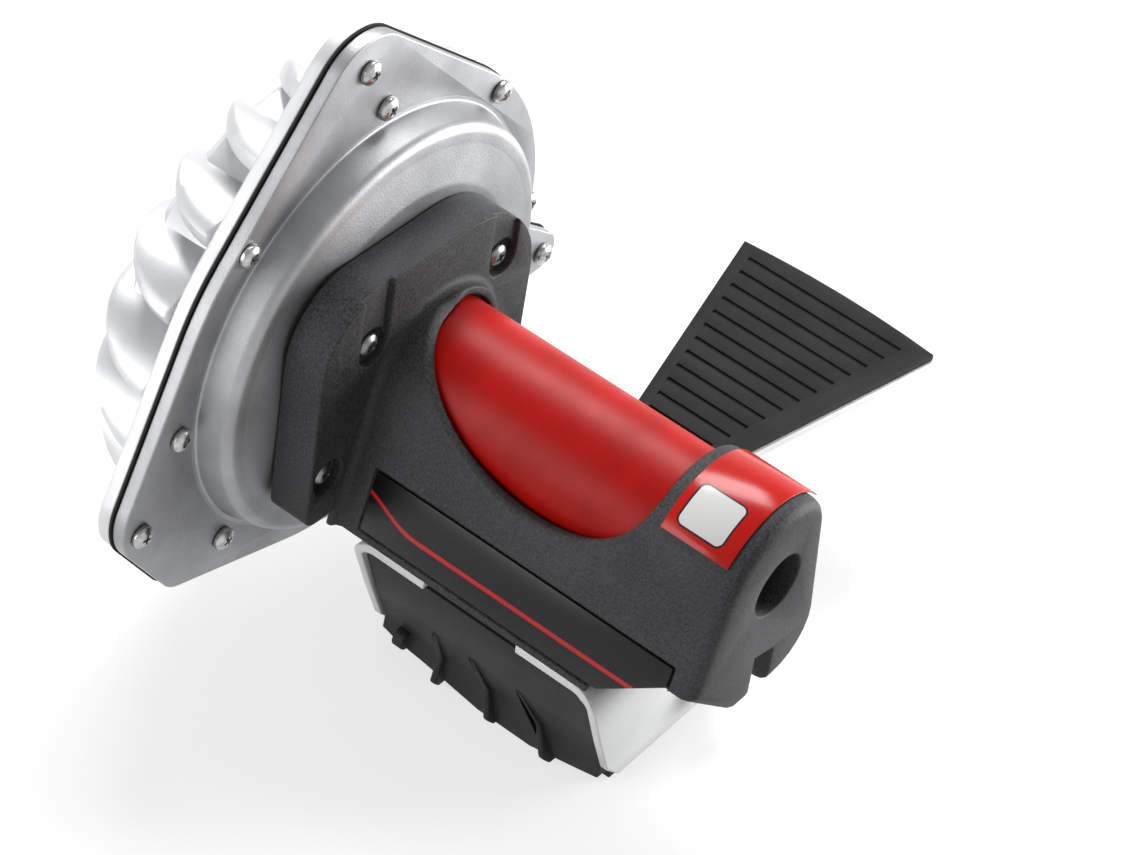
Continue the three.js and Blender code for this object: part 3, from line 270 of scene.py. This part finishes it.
def on_saddle_lip(edge):
    """An outer edge of the tyre's cutout: one face is the cut's, the other turns outward."""
    middle = (edge.verts[0].co + edge.verts[1].co) / 2
    radial = Vector((0, middle.y, middle.z - axis_height * mm))
    if len(edge.link_faces) != 2 or edge.calc_face_angle(0) < math.radians(sharp_fold):
        return False
    beside = saddle_left * mm < middle.x < saddle_right * mm
    if not (beside and radial.length < lip_reach * mm and middle.z > lip_bottom * mm):
        return False
    skin, cut_face = sorted(edge.link_faces, key=lambda face: abs(face.normal.x))
    upright = cut_face.normal.x > 0.9 and abs(cut_face.normal.z) < square
    cuts = upright or abs(cut_face.normal.y) < square
    return cuts and abs(skin.normal.x) < 0.1 and skin.normal.dot(radial.normalized()) > 0.3


facet_left, facet_right = 20, 42  # mm; where the front wall's facet lies along X
fold_length = 4                   # mm; its folds are longer than this
fold_least, fold_most = 1.2, 30   # degrees; and they turn by this much


def on_facet_fold(edge):
    """The facet's folds: long edges across the front wall, near the end housing."""
    run = edge.verts[1].co - edge.verts[0].co
    middle = (edge.verts[0].co + edge.verts[1].co) / 2
    folds = math.radians(fold_least) < edge.calc_face_angle(0) < math.radians(fold_most)
    across = run.length > fold_length * mm and abs(run.x) < 0.9 * run.length
    there = facet_left * mm < middle.x < facet_right * mm
    return folds and across and there and all(face.normal.y < -0.7 for face in edge.link_faces)


saddle_housing = softened("housing", "saddle_housing", 0.6, lip=on_saddle_lip,
                          crease=on_facet_fold)
dressed(saddle_housing, grained_housing, "unit")
for node in ("housing_bolt_1", "housing_bolt_2"):
    web_bolt = softened(node, node + "_plated", 0.35)
    dressed(web_bolt, zinc_plate, "unit")


# Roller: a turned alloy core on a ground steel shaft, in two sealed ball bearings, with a
# thick cast sleeve of red elastomer that grips the tyre. The sleeve is softly mottled where
# the tyre has polished it. Core, shaft and bearings keep their CAD shapes.
def turned_metal(name, colour, rough, line, run, smoothest, roughest):
    """A bare metal with fine lines round X: each is one size in mm wide and another long."""
    finish, metal, metal_shader, place = finish_named(name, colour, 1.0, rough)
    lay = added(metal, "ShaderNodeMapping", links={"Vector": place}, inputs={
        "Scale": (1 / (line * mm), 1 / (run * mm), 1 / (run * mm))})
    lines = added(metal, "ShaderNodeTexNoise", inputs={"Scale": 1.0, "Detail": 2.0},
                  links={"Vector": lay.outputs["Vector"]})
    glossed(metal, metal_shader, lines.outputs["Fac"], smoothest, roughest)
    return finish


ground_steel = turned_metal("ground_steel", "#8f9296", 0.24, 0.4, 6, 0.16, 0.36)
turned_alloy = turned_metal("turned_aluminium", "#b4b6b8", 0.34, 0.5, 9, 0.26, 0.46)

red_elastomer, red, red_shader, place = finish_named(
    "cast_red_elastomer", "#ae0d04", 0.0, 0.4, {"IOR": 1.49, "Specular IOR Level": 0.2})
polish = noise(red, place, 13, 3.0)
tinted(red, red_shader, polish, 0.32, "#a20a02", 0.7, "#b60f04")
glossed(red, red_shader, polish, 0.5, 0.34)
embossed(red, red_shader, noise(red, place, 0.9, 2.0), 0.12, 0.08)


def rounded_profile(corners, steps):
    """Points (x, radius) in mm from corners (x, radius, rounding), each corner rounded."""
    points = []
    for i, (x, r, rounding) in enumerate(corners):
        here = Vector((x, r))
        before = Vector(corners[i - 1][:2]) if i else here
        after = Vector(corners[i + 1][:2]) if i + 1 < len(corners) else here
        if rounding == 0 or before == here or after == here:
            points.append(here)
            continue
        inward, outward = (before - here).normalized(), (after - here).normalized()
        half = inward.angle(outward) / 2
        room = 0.49 * min((before - here).length, (after - here).length)  # roundings never meet
        reach = min(rounding / math.tan(half), room)
        middle = here + (inward + outward).normalized() * (reach / math.cos(half))
        start, end = here + inward * reach - middle, here + outward * reach - middle
        for k in range(steps + 1):
            points.append(middle + start.slerp(end, k / steps) * start.length)
    return points


def lathe(name, corners, steps=128, roundness=5):
    """Draws a profile by extruding one vertex from point to point, then spins it about X."""
    points = [Vector((p.x, 0, axis_height + p.y)) * mm
              for p in rounded_profile(corners, roundness)]
    bpy.ops.object.select_all(action="DESELECT")
    bpy.ops.mesh.primitive_plane_add(size=mm, location=points[0])
    piece = bpy.context.active_object
    piece.name = piece.data.name = name
    bpy.ops.object.transform_apply(location=True, rotation=True, scale=True)
    bpy.ops.object.mode_set(mode="EDIT")
    bpy.ops.mesh.select_mode(type="VERT")
    bpy.ops.mesh.select_all(action="SELECT")
    bpy.ops.mesh.merge(type="CENTER")
    for before, after in zip(points, points[1:]):
        bpy.ops.mesh.extrude_vertices_move(TRANSFORM_OT_translate={"value": after - before})
    bpy.ops.mesh.select_all(action="SELECT")
    bpy.ops.mesh.spin(steps=steps, angle=math.tau, use_auto_merge=True,
                      center=(0, 0, axis_height * mm), axis=(1, 0, 0))
    bpy.ops.mesh.select_all(action="SELECT")
    bpy.ops.mesh.remove_doubles(threshold=weld)
    bpy.ops.mesh.normals_make_consistent(inside=False)
    bpy.ops.object.mode_set(mode="OBJECT")
    smoothed(piece)
    return piece


def coated(node, material):
    """Gives a CAD node that stays as it is its real finish."""
    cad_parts[node].data.materials.clear()
    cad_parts[node].data.materials.append(material)


sleeve_left, sleeve_right, sleeve_bore, sleeve_radius = -50.8, 40.9, 18.5, 22.5
roller_grip = lathe("roller_grip_sleeve", [
    (sleeve_left, sleeve_bore, 0), (sleeve_left, sleeve_radius, 1.2),
    (sleeve_right, sleeve_radius, 1.2), (sleeve_right, sleeve_bore, 0),
    (sleeve_left, sleeve_bore, 0)])
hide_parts("roller_sleeve")
dressed(roller_grip, red_elastomer, "rotor")
for node, material in (("roller_core", turned_alloy), ("roller_shaft", ground_steel),
                       ("bearing_end", ground_steel), ("bearing_plate", ground_steel)):
    coated(node, material)


# Label strip: a thin printed film in the front wall's recess, black with a slim red sweep
# that drops towards the end housing. It is glossy beside the grained plastic round it.
label_black, sweep_red = "#0c0b0d", "#cf201d"
sweep_from, sweep_to = -52, -22       # mm along X, where the sweep bends
sweep_high, sweep_low = 72.5, 65      # mm up, before and after the bend
sweep_inner, sweep_outer = 0.6, 0.75  # mm from its middle, where it starts and ends to fade
label_film, label, label_shader, place = finish_named(
    "printed_label_film", label_black, 0.0, 0.24, {"IOR": 1.5, "Specular IOR Level": 0.3})
split = added(label, "ShaderNodeSeparateXYZ", links={"Vector": place})
bowed = added(label, "ShaderNodeMapRange", {"interpolation_type": "SMOOTHERSTEP"},
              {"From Min": sweep_from * mm, "From Max": sweep_to * mm,
               "To Min": sweep_high * mm, "To Max": sweep_low * mm},
              {"Value": split.outputs["X"]})
drop = added(label, "ShaderNodeMath", {"operation": "SUBTRACT"},
             links={0: split.outputs["Z"], 1: bowed.outputs["Result"]})
apart = added(label, "ShaderNodeMath", {"operation": "ABSOLUTE"}, links={0: drop.outputs["Value"]})
stripe = added(label, "ShaderNodeMapRange", inputs={
    "From Min": sweep_inner * mm, "From Max": sweep_outer * mm, "To Min": 1.0, "To Max": 0.0},
    links={"Value": apart.outputs["Value"]})
print_colour = added(label, "ShaderNodeMix", {"data_type": "RGBA"},
                     {"A": linear(label_black), "B": linear(sweep_red)},
                     {"Factor": stripe.outputs["Result"]})
label.links.new(print_colour.outputs["Result"], label_shader.inputs["Base Color"])
embossed(label, label_shader, noise(label, place, 9, 1.0), 0.1, 0.1)

front_label = softened("label_strip", "front_label_film", 0.2)
dressed(front_label, label_film, "unit")


# Sticker: red vinyl wrapped over the end housing's round top, with a plain pale tile that
# has a dark frame. The film is glossy, so the lamp above shows in it as a light band.
vinyl_red, frame_black, tile_white = "#bd0f03", "#1a1a1b", "#d9d9d6"
film_radius, tile_angle, tile_x = 27.1, 119, 56         # mm, degrees round the axis, mm along it
frame_half, tile_half = (8.0, 7.4), (7.4, 6.8)          # mm along the axis and round it
frame_corner, tile_corner, print_blur = 2.6, 2.0, 0.08  # mm
gloss_vinyl, vinyl, vinyl_shader, place = finish_named(
    "glossy_red_vinyl", vinyl_red, 0.0, 0.2, {"IOR": 1.5, "Specular IOR Level": 0.3})
film = added(vinyl, "ShaderNodeSeparateXYZ", links={"Vector": place})
height = added(vinyl, "ShaderNodeMath", {"operation": "SUBTRACT"}, {1: axis_height * mm},
               {0: film.outputs["Z"]})
around = added(vinyl, "ShaderNodeMath", {"operation": "ARCTAN2"},
               links={0: height.outputs["Value"], 1: film.outputs["Y"]})
along_arc = added(vinyl, "ShaderNodeMath", {"operation": "MULTIPLY_ADD"},
                  {1: film_radius * mm, 2: -math.radians(tile_angle) * film_radius * mm},
                  {0: around.outputs["Value"]})
along_axis = added(vinyl, "ShaderNodeMath", {"operation": "SUBTRACT"}, {1: tile_x * mm},
                   {0: film.outputs["X"]})


def tile_mask(half_sizes, corner):
    """The mask of a rounded rectangle round the tile's centre: 1 inside, 0 outside."""
    squares = []
    for coordinate, half in zip((along_axis, along_arc), half_sizes):
        size = added(vinyl, "ShaderNodeMath", {"operation": "ABSOLUTE"},
                     links={0: coordinate.outputs["Value"]})
        over = added(vinyl, "ShaderNodeMath", {"operation": "SUBTRACT"},
                     {1: (half - corner) * mm}, {0: size.outputs["Value"]})
        outside = added(vinyl, "ShaderNodeMath", {"operation": "MAXIMUM"}, {1: 0.0},
                        {0: over.outputs["Value"]})
        squares.append(added(vinyl, "ShaderNodeMath", {"operation": "POWER"}, {1: 2.0},
                             {0: outside.outputs["Value"]}).outputs["Value"])
    total = added(vinyl, "ShaderNodeMath", {"operation": "ADD"}, links=dict(enumerate(squares)))
    reach = added(vinyl, "ShaderNodeMath", {"operation": "SQRT"},
                  links={0: total.outputs["Value"]})
    return added(vinyl, "ShaderNodeMapRange", inputs={
        "From Min": (corner - print_blur) * mm, "From Max": (corner + print_blur) * mm,
        "To Min": 1.0, "To Max": 0.0}, links={"Value": reach.outputs["Value"]}).outputs["Result"]


inked = added(vinyl, "ShaderNodeMix", {"data_type": "RGBA"},
              {"A": linear(vinyl_red), "B": linear(frame_black)},
              {"Factor": tile_mask(frame_half, frame_corner)})
printed = added(vinyl, "ShaderNodeMix", {"data_type": "RGBA"}, {"B": linear(tile_white)},
                {"Factor": tile_mask(tile_half, tile_corner), "A": inked.outputs["Result"]})
vinyl.links.new(printed.outputs["Result"], vinyl_shader.inputs["Base Color"])
embossed(vinyl, vinyl_shader, noise(vinyl, place, 7, 1.0), 0.12, 0.1)

top_sticker = softened("cap_sticker", "end_housing_sticker", 0.1)
dressed(top_sticker, gloss_vinyl, "unit")


# Brake cover: a die-cast aluminium lid, domed and turned on its face, with a flat flange and
# three lobes that take the outer screws. It is blasted and lacquered silver, so it is satin
# with a fine grain and soft clouds.
satin_casting, satin, satin_shader, place = finish_named(
    "blasted_cast_aluminium", "#98999b", 0.92, 0.46)
blast = noise(satin, place, 0.6, 3.0)
tinted(satin, satin_shader, noise(satin, place, 24, 4.0), 0.3, "#939496", 0.7, "#aeafb1")
glossed(satin, satin_shader, blast, 0.4, 0.54)
embossed(satin, satin_shader, blast, 0.6, 0.12)

rim_radius = 80.3                        # mm; the round part of the cover's and casing's rims
cover_back, flange_front = -83.2, -78.8  # mm along X
dome_face, hub_radius = -65.8, 13.3      # mm along X, and from the axis
plate_flat, plate_sharp = 0.2, 40        # degrees; flatter folds go, sharper edges are rounded


def drum(name, x_from, x_to, radius, reach=0, angle=0, steps=128):
    """A short solid cylinder along X, its middle at a reach and an angle from the axis."""
    bpy.ops.object.select_all(action="DESELECT")
    turn_to = math.radians(angle)
    bpy.ops.mesh.primitive_cylinder_add(
        vertices=steps, radius=radius * mm, depth=(x_to - x_from) * mm,
        rotation=(0, math.pi / 2, 0),
        location=((x_from + x_to) / 2 * mm, reach * math.cos(turn_to) * mm,
                  (axis_height + reach * math.sin(turn_to)) * mm))
    piece = bpy.context.active_object
    piece.name = piece.data.name = name
    bpy.ops.object.transform_apply(location=True, rotation=True, scale=True)
    return piece


def hull_of(name, drums):
    """The tight outline round several drums, as one solid plate."""
    bpy.ops.object.select_all(action="DESELECT")
    for piece in drums:
        piece.select_set(True)
    bpy.context.view_layer.objects.active = drums[0]
    bpy.ops.object.join()
    piece = bpy.context.active_object
    piece.name = piece.data.name = name
    bpy.ops.object.mode_set(mode="EDIT")
    bpy.ops.mesh.select_all(action="SELECT")
    bpy.ops.mesh.convex_hull(delete_unused=True, use_existing_faces=False, join_triangles=False)
    bpy.ops.mesh.select_all(action="SELECT")
    bpy.ops.mesh.dissolve_limited(angle_limit=math.radians(plate_flat))
    bpy.ops.object.mode_set(mode="OBJECT")
    return piece


def combined(piece, others, operation):
    """Unites the piece with others, or cuts them out of it, and takes the others away."""
    for other in others:
        applied(piece, "BOOLEAN", operation=operation, object=other, solver="EXACT")
        bpy.data.objects.remove(other)


def lobed_plate(name, x_from, x_to, grown, bore, edge):
    """A round plate with its top, front and rear lobes and an open middle, its edges rounded.

    A lobe is given by its radius, its reach from the axis in mm and its angle in degrees.
    """
    def span(part, radius, reach=0, angle=0, steps=128):
        return drum(part, x_from, x_to, radius, reach, angle, steps)
    plate = hull_of(name, [span("disc", rim_radius + grown), span("top_lobe", 18 + grown, 87, 96)])
    front = hull_of("front_plate", [
        span("disc", rim_radius + grown), span("front_lobe", 18 + grown, 83, -162),
        span("heel", 11 + grown, 86, -143, 64)])
    rear = hull_of("rear_plate", [
        span("neck", 15, 70, -17.6, 64), span("rear_lobe", 7 + grown, 94.6, -17.6, 48)])
    combined(plate, [front, rear], "UNION")
    combined(plate, [drum("bore", x_from - 2, x_to + 2, bore)], "DIFFERENCE")
    only(plate)
    bpy.ops.object.mode_set(mode="EDIT")
    bpy.ops.mesh.select_all(action="SELECT")
    bpy.ops.mesh.remove_doubles(threshold=sliver)
    bpy.ops.mesh.dissolve_limited(angle_limit=math.radians(plate_flat))
    bpy.ops.object.mode_set(mode="OBJECT")
    if edge:
        applied(plate, "BEVEL", width=edge * mm, segments=3, limit_method="ANGLE",
                angle_limit=math.radians(plate_sharp), use_clamp_overlap=False)
    smoothed(plate)
    return plate


# The lid's profile, from the inner edge of its back over the shoulder and the dished face to
# the hub's bore, and back along the inside.
flange = lobed_plate("cover_flange", cover_back, flange_front, 0, 71.0, 0.5)
brake_lid = lathe("brake_cover_casting", [
    (cover_back, 63.0, 0), (cover_back, 71.4, 0), (flange_front, 71.4, 0.05),
    (flange_front, 69.9, 2.6), (-68.7, 67.6, 4.2), (-68.0, 62.0, 4.0), (dome_face, 50.0, 9.0),
    (dome_face, hub_radius, 0.6), (-72.0, hub_radius, 0.6), (-72.0, 22.0, 1.0),
    (-69.4, 24.0, 1.0), (-69.4, 50.0, 6.0), (-72.2, 61.0, 1.5), (-74.2, 63.0, 1.5),
    (cover_back, 63.0, 0)], steps=192, roundness=7)
only(brake_lid)
flange.select_set(True)
bpy.ops.object.join()
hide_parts("brake_cover")
dressed(brake_lid, satin_casting, "unit")


# Gasket: a thin black fibre sheet between the cover and the casing. Only its edge shows.
# The rim screws clamp it, and it stands 0.5 mm proud of the rims.
fibre, fibre_tree, fibre_shader, place = finish_named(
    "black_gasket_fibre", "#101010", 0.0, 0.8, {"IOR": 1.45})
tinted(fibre_tree, fibre_shader, noise(fibre_tree, place, 0.7, 3.0),
       0.0, "#0a0a0a", 1.0, "#1c1b1b")
rim_bore = 66.0  # mm; the open middle of the gasket's and the casing's rims
joint_sheet = lobed_plate("gasket_sheet", -84.2, -83.5, 0.5, rim_bore, 0)
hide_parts("brake_gasket")
dressed(joint_sheet, fibre, "unit")


# Finned casing: an aluminium casting, a bowl with the same lobed rim and twenty swirled fins
# that throw off the heat of the fluid. The fins thicken to round tips. It is left bright,
# with the sandy skin and the faint stains of a raw casting.
bright_casting, cast, cast_shader, place = finish_named(
    "bright_cast_aluminium", "#dddee0", 0.4, 0.42)
tinted(cast, cast_shader, noise(cast, place, 16, 3.0), 0.3, "#cfd0d2", 0.7, "#e2e3e4")
embossed(cast, cast_shader, noise(cast, place, 0.9, 4.0), 0.3, 0.12)

# One fin: a grid bent to the swirl, cut to the round envelope, thickened towards its tip.
fin_count = 20
fin_root, fin_tip = 34.0, 79.5             # mm from the axis
fin_depth, band_back = 32.0, -89.0         # mm along X
band_overlap = 0.6                         # mm, by which the fin reaches into the rim's band
swirl, bow_share = 30, 0.35                # degrees from root to tip, and how far it bows back
tip_drop, envelope = 0.3, 2.3              # share lost at the back, and the outline's power
tip_share = 0.3                            # the outer part of the fin that thickens
tip_thickness, root_thickness = 8.5, 0.42  # mm, and the root's share of it
same_corner = 1e-7                         # metres; nothing but true doubles is joined
bpy.ops.object.select_all(action="DESELECT")
bpy.ops.mesh.primitive_grid_add(x_subdivisions=18, y_subdivisions=11, size=1)
fin = bpy.context.active_object
fin.name = fin.data.name = "swirled_fin"
tip_weight = fin.vertex_groups.new(name="tip")
for vertex in fin.data.vertices:
    along, deep = vertex.co.x + 0.5, vertex.co.y + 0.5
    outer = fin_tip * (1 - tip_drop + tip_drop * (1 - deep ** envelope) ** (1 / envelope))
    radius = fin_root + (outer - fin_root) * along
    share = (radius - fin_root) / (fin_tip - fin_root)
    bow = math.sin(share * math.pi) * bow_share
    angle = math.radians(swirl * (share - bow * share))
    swell = max(0.0, (share - (1 - tip_share)) / tip_share)
    tip_weight.add([vertex.index], math.sin(swell * math.pi * 0.7), "REPLACE")
    vertex.co = Vector((band_back + band_overlap - (fin_depth + band_overlap) * deep,
                        radius * math.cos(angle), axis_height + radius * math.sin(angle))) * mm
applied(fin, "SOLIDIFY", thickness=tip_thickness * mm, offset=0, vertex_group="tip",
        thickness_vertex_group=root_thickness, use_even_offset=False)
applied(fin, "SUBSURF", levels=1, render_levels=1)
fin.vertex_groups.clear()
# The bowl's room is cut out of the fin, so that the fin ends inside the bowl's wall.
combined(fin, [drum("cavity", -112.0, -80.0, 65.0, steps=96)], "DIFFERENCE")
only(fin)
bpy.ops.object.mode_set(mode="EDIT")
bpy.ops.mesh.select_all(action="SELECT")
bpy.ops.mesh.spin(steps=fin_count - 1, dupli=True, angle=math.tau * (fin_count - 1) / fin_count,
                  center=(0, 0, axis_height * mm), axis=(1, 0, 0))
bpy.ops.mesh.select_all(action="SELECT")
bpy.ops.mesh.remove_doubles(threshold=same_corner)
bpy.ops.mesh.normals_make_consistent(inside=False)
bpy.ops.object.mode_set(mode="OBJECT")
smoothed(fin, fold=40)

# The rim's band and the bowl, whose profile runs from the rim over the closed end and back
# along the inside.
bowl_front, bowl_back, cavity_end = -84.6, -116.0, -111.6
rim_band = lobed_plate("casing_band", band_back, -84.5, 0, rim_bore, 0.5)
finned_bowl = lathe("finned_casing_casting", [
    (bowl_front, 63.0, 0), (bowl_front, 67.0, 0), (-111.5, 67.4, 0), (bowl_back, 63.0, 3.0),
    (bowl_back, 0, 0), (cavity_end, 0, 0), (cavity_end, 61.0, 2.0), (-109.6, 63.0, 1.5),
    (bowl_front, 63.0, 0)])
only(finned_bowl)
fin.select_set(True)
rim_band.select_set(True)
bpy.ops.object.join()
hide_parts("finned_casing")
dressed(finned_bowl, bright_casting, "unit")


# Impeller and shaft seal: inside the brake, on the roller's shaft. The impeller stirs the
# fluid, and the seal keeps it in. Both keep their CAD shapes.
for node, material in (("impeller", turned_alloy), ("shaft_seal", fibre)):
    coated(node, material)


# Screws: zinc-plated pan heads with a cross recess. Eight hold the cover on its rim, three go
# through the lobes, and four longer ones sit in the plate's pockets. Those four get a darker
# copy of the same plating, which paints in the shade of their pockets.
head_radius, head_shoulder, head_height = 3.8, 1.5, 2.6  # mm
recess_span, recess_slot, recess_length = 4.2, 1.1, 2.8  # mm; half its length is in the head
recess_taper = 0.6                                       # its floor's share of its mouth


def pan_head_screw(name, head_x, shank_radius, shank_length):
    """One screw with a domed head and a cross recess, its head facing +X, on the unit's axis."""
    screw = lathe(name, [
        (head_x - shank_length, 0, 0), (head_x - shank_length, shank_radius, 0.3),
        (head_x, shank_radius, 0), (head_x, head_radius, 0.35),
        (head_x + head_shoulder, 3.7, 1.1), (head_x + head_height, 1.9, 1.8),
        (head_x + head_height, 0, 0)], steps=40, roundness=4)
    arms = []
    for width, height in ((recess_span, recess_slot), (recess_slot, recess_span)):
        bpy.ops.object.select_all(action="DESELECT")
        bpy.ops.mesh.primitive_cube_add(
            size=1, location=((head_x + head_height) * mm, 0, axis_height * mm))
        arm = bpy.context.active_object
        arm.scale = (recess_length * mm, width * mm, height * mm)
        bpy.ops.object.transform_apply(location=True, rotation=True, scale=True)
        bpy.ops.object.mode_set(mode="EDIT")
        select_where(arm, "FACE", lambda face: face.normal.x < -0.5)
        bpy.ops.transform.resize(value=(1, recess_taper, recess_taper),
                                 center_override=(head_x * mm, 0, axis_height * mm))
        bpy.ops.object.mode_set(mode="OBJECT")
        arms.append(arm)
    combined(screw, arms, "DIFFERENCE")
    smoothed(screw, fold=32)
    return screw


def set_screws(pattern, finish, nodes, turns):
    """Copies the screw to each CAD screw's place, each with its cross at an angle of its own."""
    pattern_top = max(v.co.x for v in pattern.data.vertices)
    for node, turned_by in zip(nodes, turns):
        low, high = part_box(node)
        screw = pattern.copy()
        screw.data = pattern.data.copy()
        screw.name = screw.data.name = node + "_plated"
        bpy.context.scene.collection.objects.link(screw)
        to_axis = Matrix.Translation((0, 0, -axis_height * mm))
        spun = Matrix.Rotation(math.radians(turned_by), 4, "X")
        to_place = Matrix.Translation(
            (high.x - pattern_top, (low.y + high.y) / 2, (low.z + high.z) / 2))
        screw.data.transform(to_place @ spun @ to_axis)
        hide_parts(node)
        dressed(screw, finish, "unit")


short_screw = pan_head_screw("short_screw", flange_front, 1.9, 9)
set_screws(short_screw, zinc_plate,
           [f"rim_screw_{i}" for i in range(1, 9)] + [f"lobe_screw_{i}" for i in range(1, 4)],
           [12, 55, 28, 70, 40, 20, 63, 35, 50, 8, 80])
long_screw = pan_head_screw("long_screw", -54.9, 2.3, 16)
# A darker copy of the zinc plating: painted shade for the screws deep in the plate's pockets.
painted_shade_zinc = plated_steel("dull_zinc_plated_steel", "#6f7173", "#96989a", 0.36)
set_screws(long_screw, painted_shade_zinc, [f"plate_screw_{i}" for i in range(1, 5)], [15, 48, 66, 30])
for pattern in (short_screw, long_screw):
    bpy.data.objects.remove(pattern)


# Studio: a plain pale floor under the foot, a soft lamp above and behind the roller, one at the
# front left and a low one behind, and the camera where the photographer's stood. Floor and air
# are bright to the camera and in metal, and give the object less light than they show.
floor_below, floor_tone, floor_glow = 0.3, 0.42, 0.68  # mm under the foot, grey, added light
bpy.ops.object.select_all(action="DESELECT")
bpy.ops.mesh.primitive_plane_add(size=8, location=(0, 0, -floor_below * mm))
floor = bpy.context.active_object
floor.name = "studio_floor"
paper = bpy.data.materials.new("pale_studio_paper")
paper.use_nodes = True
paper_tree = paper.node_tree
paper_tree.nodes.clear()
path = added(paper_tree, "ShaderNodeLightPath")
seen = added(paper_tree, "ShaderNodeMath", {"operation": "MAXIMUM"},
             links={0: path.outputs["Is Camera Ray"], 1: path.outputs["Is Glossy Ray"]})
lift = added(paper_tree, "ShaderNodeMath", {"operation": "MULTIPLY"}, {1: floor_glow},
             {0: seen.outputs["Value"]})
glow = added(paper_tree, "ShaderNodeEmission", inputs={"Color": (1, 1, 1, 1)},
             links={"Strength": lift.outputs["Value"]})
sheet = added(paper_tree, "ShaderNodeBsdfDiffuse",
              inputs={"Color": (floor_tone, floor_tone, floor_tone, 1)})
both = added(paper_tree, "ShaderNodeAddShader",
             links={0: glow.outputs["Emission"], 1: sheet.outputs["BSDF"]})
added(paper_tree, "ShaderNodeOutputMaterial", links={"Surface": both.outputs["Shader"]})
floor.data.materials.append(paper)

# The air shows white to the camera. In metal it is white at the horizon and dims overhead.
air_light, white, overhead = 0.25, 1.0, 0.3
dim_from, dim_to = -0.15, -0.6  # the ray's downward part, at which the dimming starts and ends
world = bpy.data.worlds.new("studio_air")
bpy.context.scene.world = world
world.use_nodes = True
air = world.node_tree
air.nodes.clear()
air_path = added(air, "ShaderNodeLightPath")
mirrored = added(air, "ShaderNodeMath", {"operation": "MAXIMUM"}, links={
    0: air_path.outputs["Is Glossy Ray"], 1: air_path.outputs["Is Transmission Ray"]})
ray = added(air, "ShaderNodeSeparateXYZ", links={
    "Vector": added(air, "ShaderNodeNewGeometry").outputs["Incoming"]})
ceiling = added(air, "ShaderNodeMapRange", inputs={
    "From Min": dim_from, "From Max": dim_to, "To Min": white, "To Max": overhead},
    links={"Value": ray.outputs["Z"]})
shown = added(air, "ShaderNodeMath", {"operation": "MULTIPLY"},
              links={0: mirrored.outputs["Value"], 1: ceiling.outputs["Result"]})
direct = added(air, "ShaderNodeMath", {"operation": "MAXIMUM"},
               links={0: air_path.outputs["Is Camera Ray"], 1: shown.outputs["Value"]})
strength = added(air, "ShaderNodeMapRange", inputs={"To Min": air_light, "To Max": white},
                 links={"Value": direct.outputs["Value"]})
sky = added(air, "ShaderNodeBackground", inputs={"Color": (1, 1, 1, 1)},
            links={"Strength": strength.outputs["Result"]})
added(air, "ShaderNodeOutputWorld", links={"Surface": sky.outputs["Background"]})

subject = Vector((0, 0, 0.09))  # what the lamps are aimed at
for name, direction, distance, wide, high, watts in (
        ("top_softbox", (-0.35, 0.45, 0.82), 1.0, 0.7, 0.35, 10.5),
        ("left_softbox", (-0.45, -0.85, 0.25), 1.1, 0.7, 0.7, 6),
        ("rear_softbox", (0.5, 0.8, 0.08), 0.9, 0.6, 0.4, 11)):
    lamp_data = bpy.data.lights.new(name, "AREA")
    lamp_data.shape = "RECTANGLE"
    lamp_data.size, lamp_data.size_y = wide, high
    lamp_data.energy = watts
    lamp = bpy.data.objects.new(name, lamp_data)
    bpy.context.scene.collection.objects.link(lamp)
    towards = Vector(direction).normalized()
    lamp.location = subject + towards * distance
    lamp.rotation_euler = towards.to_track_quat("Z", "Y").to_euler()

# The camera's axes and place were fitted to the photo.
camera_right = Vector((0.77413, 0.61891, 0.13290))
camera_up = Vector((-0.50083, 0.47042, 0.72655))
camera_back = Vector((0.38715, -0.62901, 0.67414))
camera_place = (0.38851, -0.63333, 0.78278)
camera_data = bpy.data.cameras.new("photo_camera")
camera_data.sensor_fit = "HORIZONTAL"
camera_data.sensor_width, camera_data.lens = 36, 113.05
camera_data.clip_start, camera_data.clip_end = 0.01, 30
camera = bpy.data.objects.new("photo_camera", camera_data)
bpy.context.scene.collection.objects.link(camera)
camera.matrix_world = Matrix.Translation(camera_place) @ Matrix(
    (camera_right, camera_up, camera_back)).transposed().to_4x4()
bpy.context.scene.camera = camera
bpy.context.scene.view_settings.view_transform = "Standard"
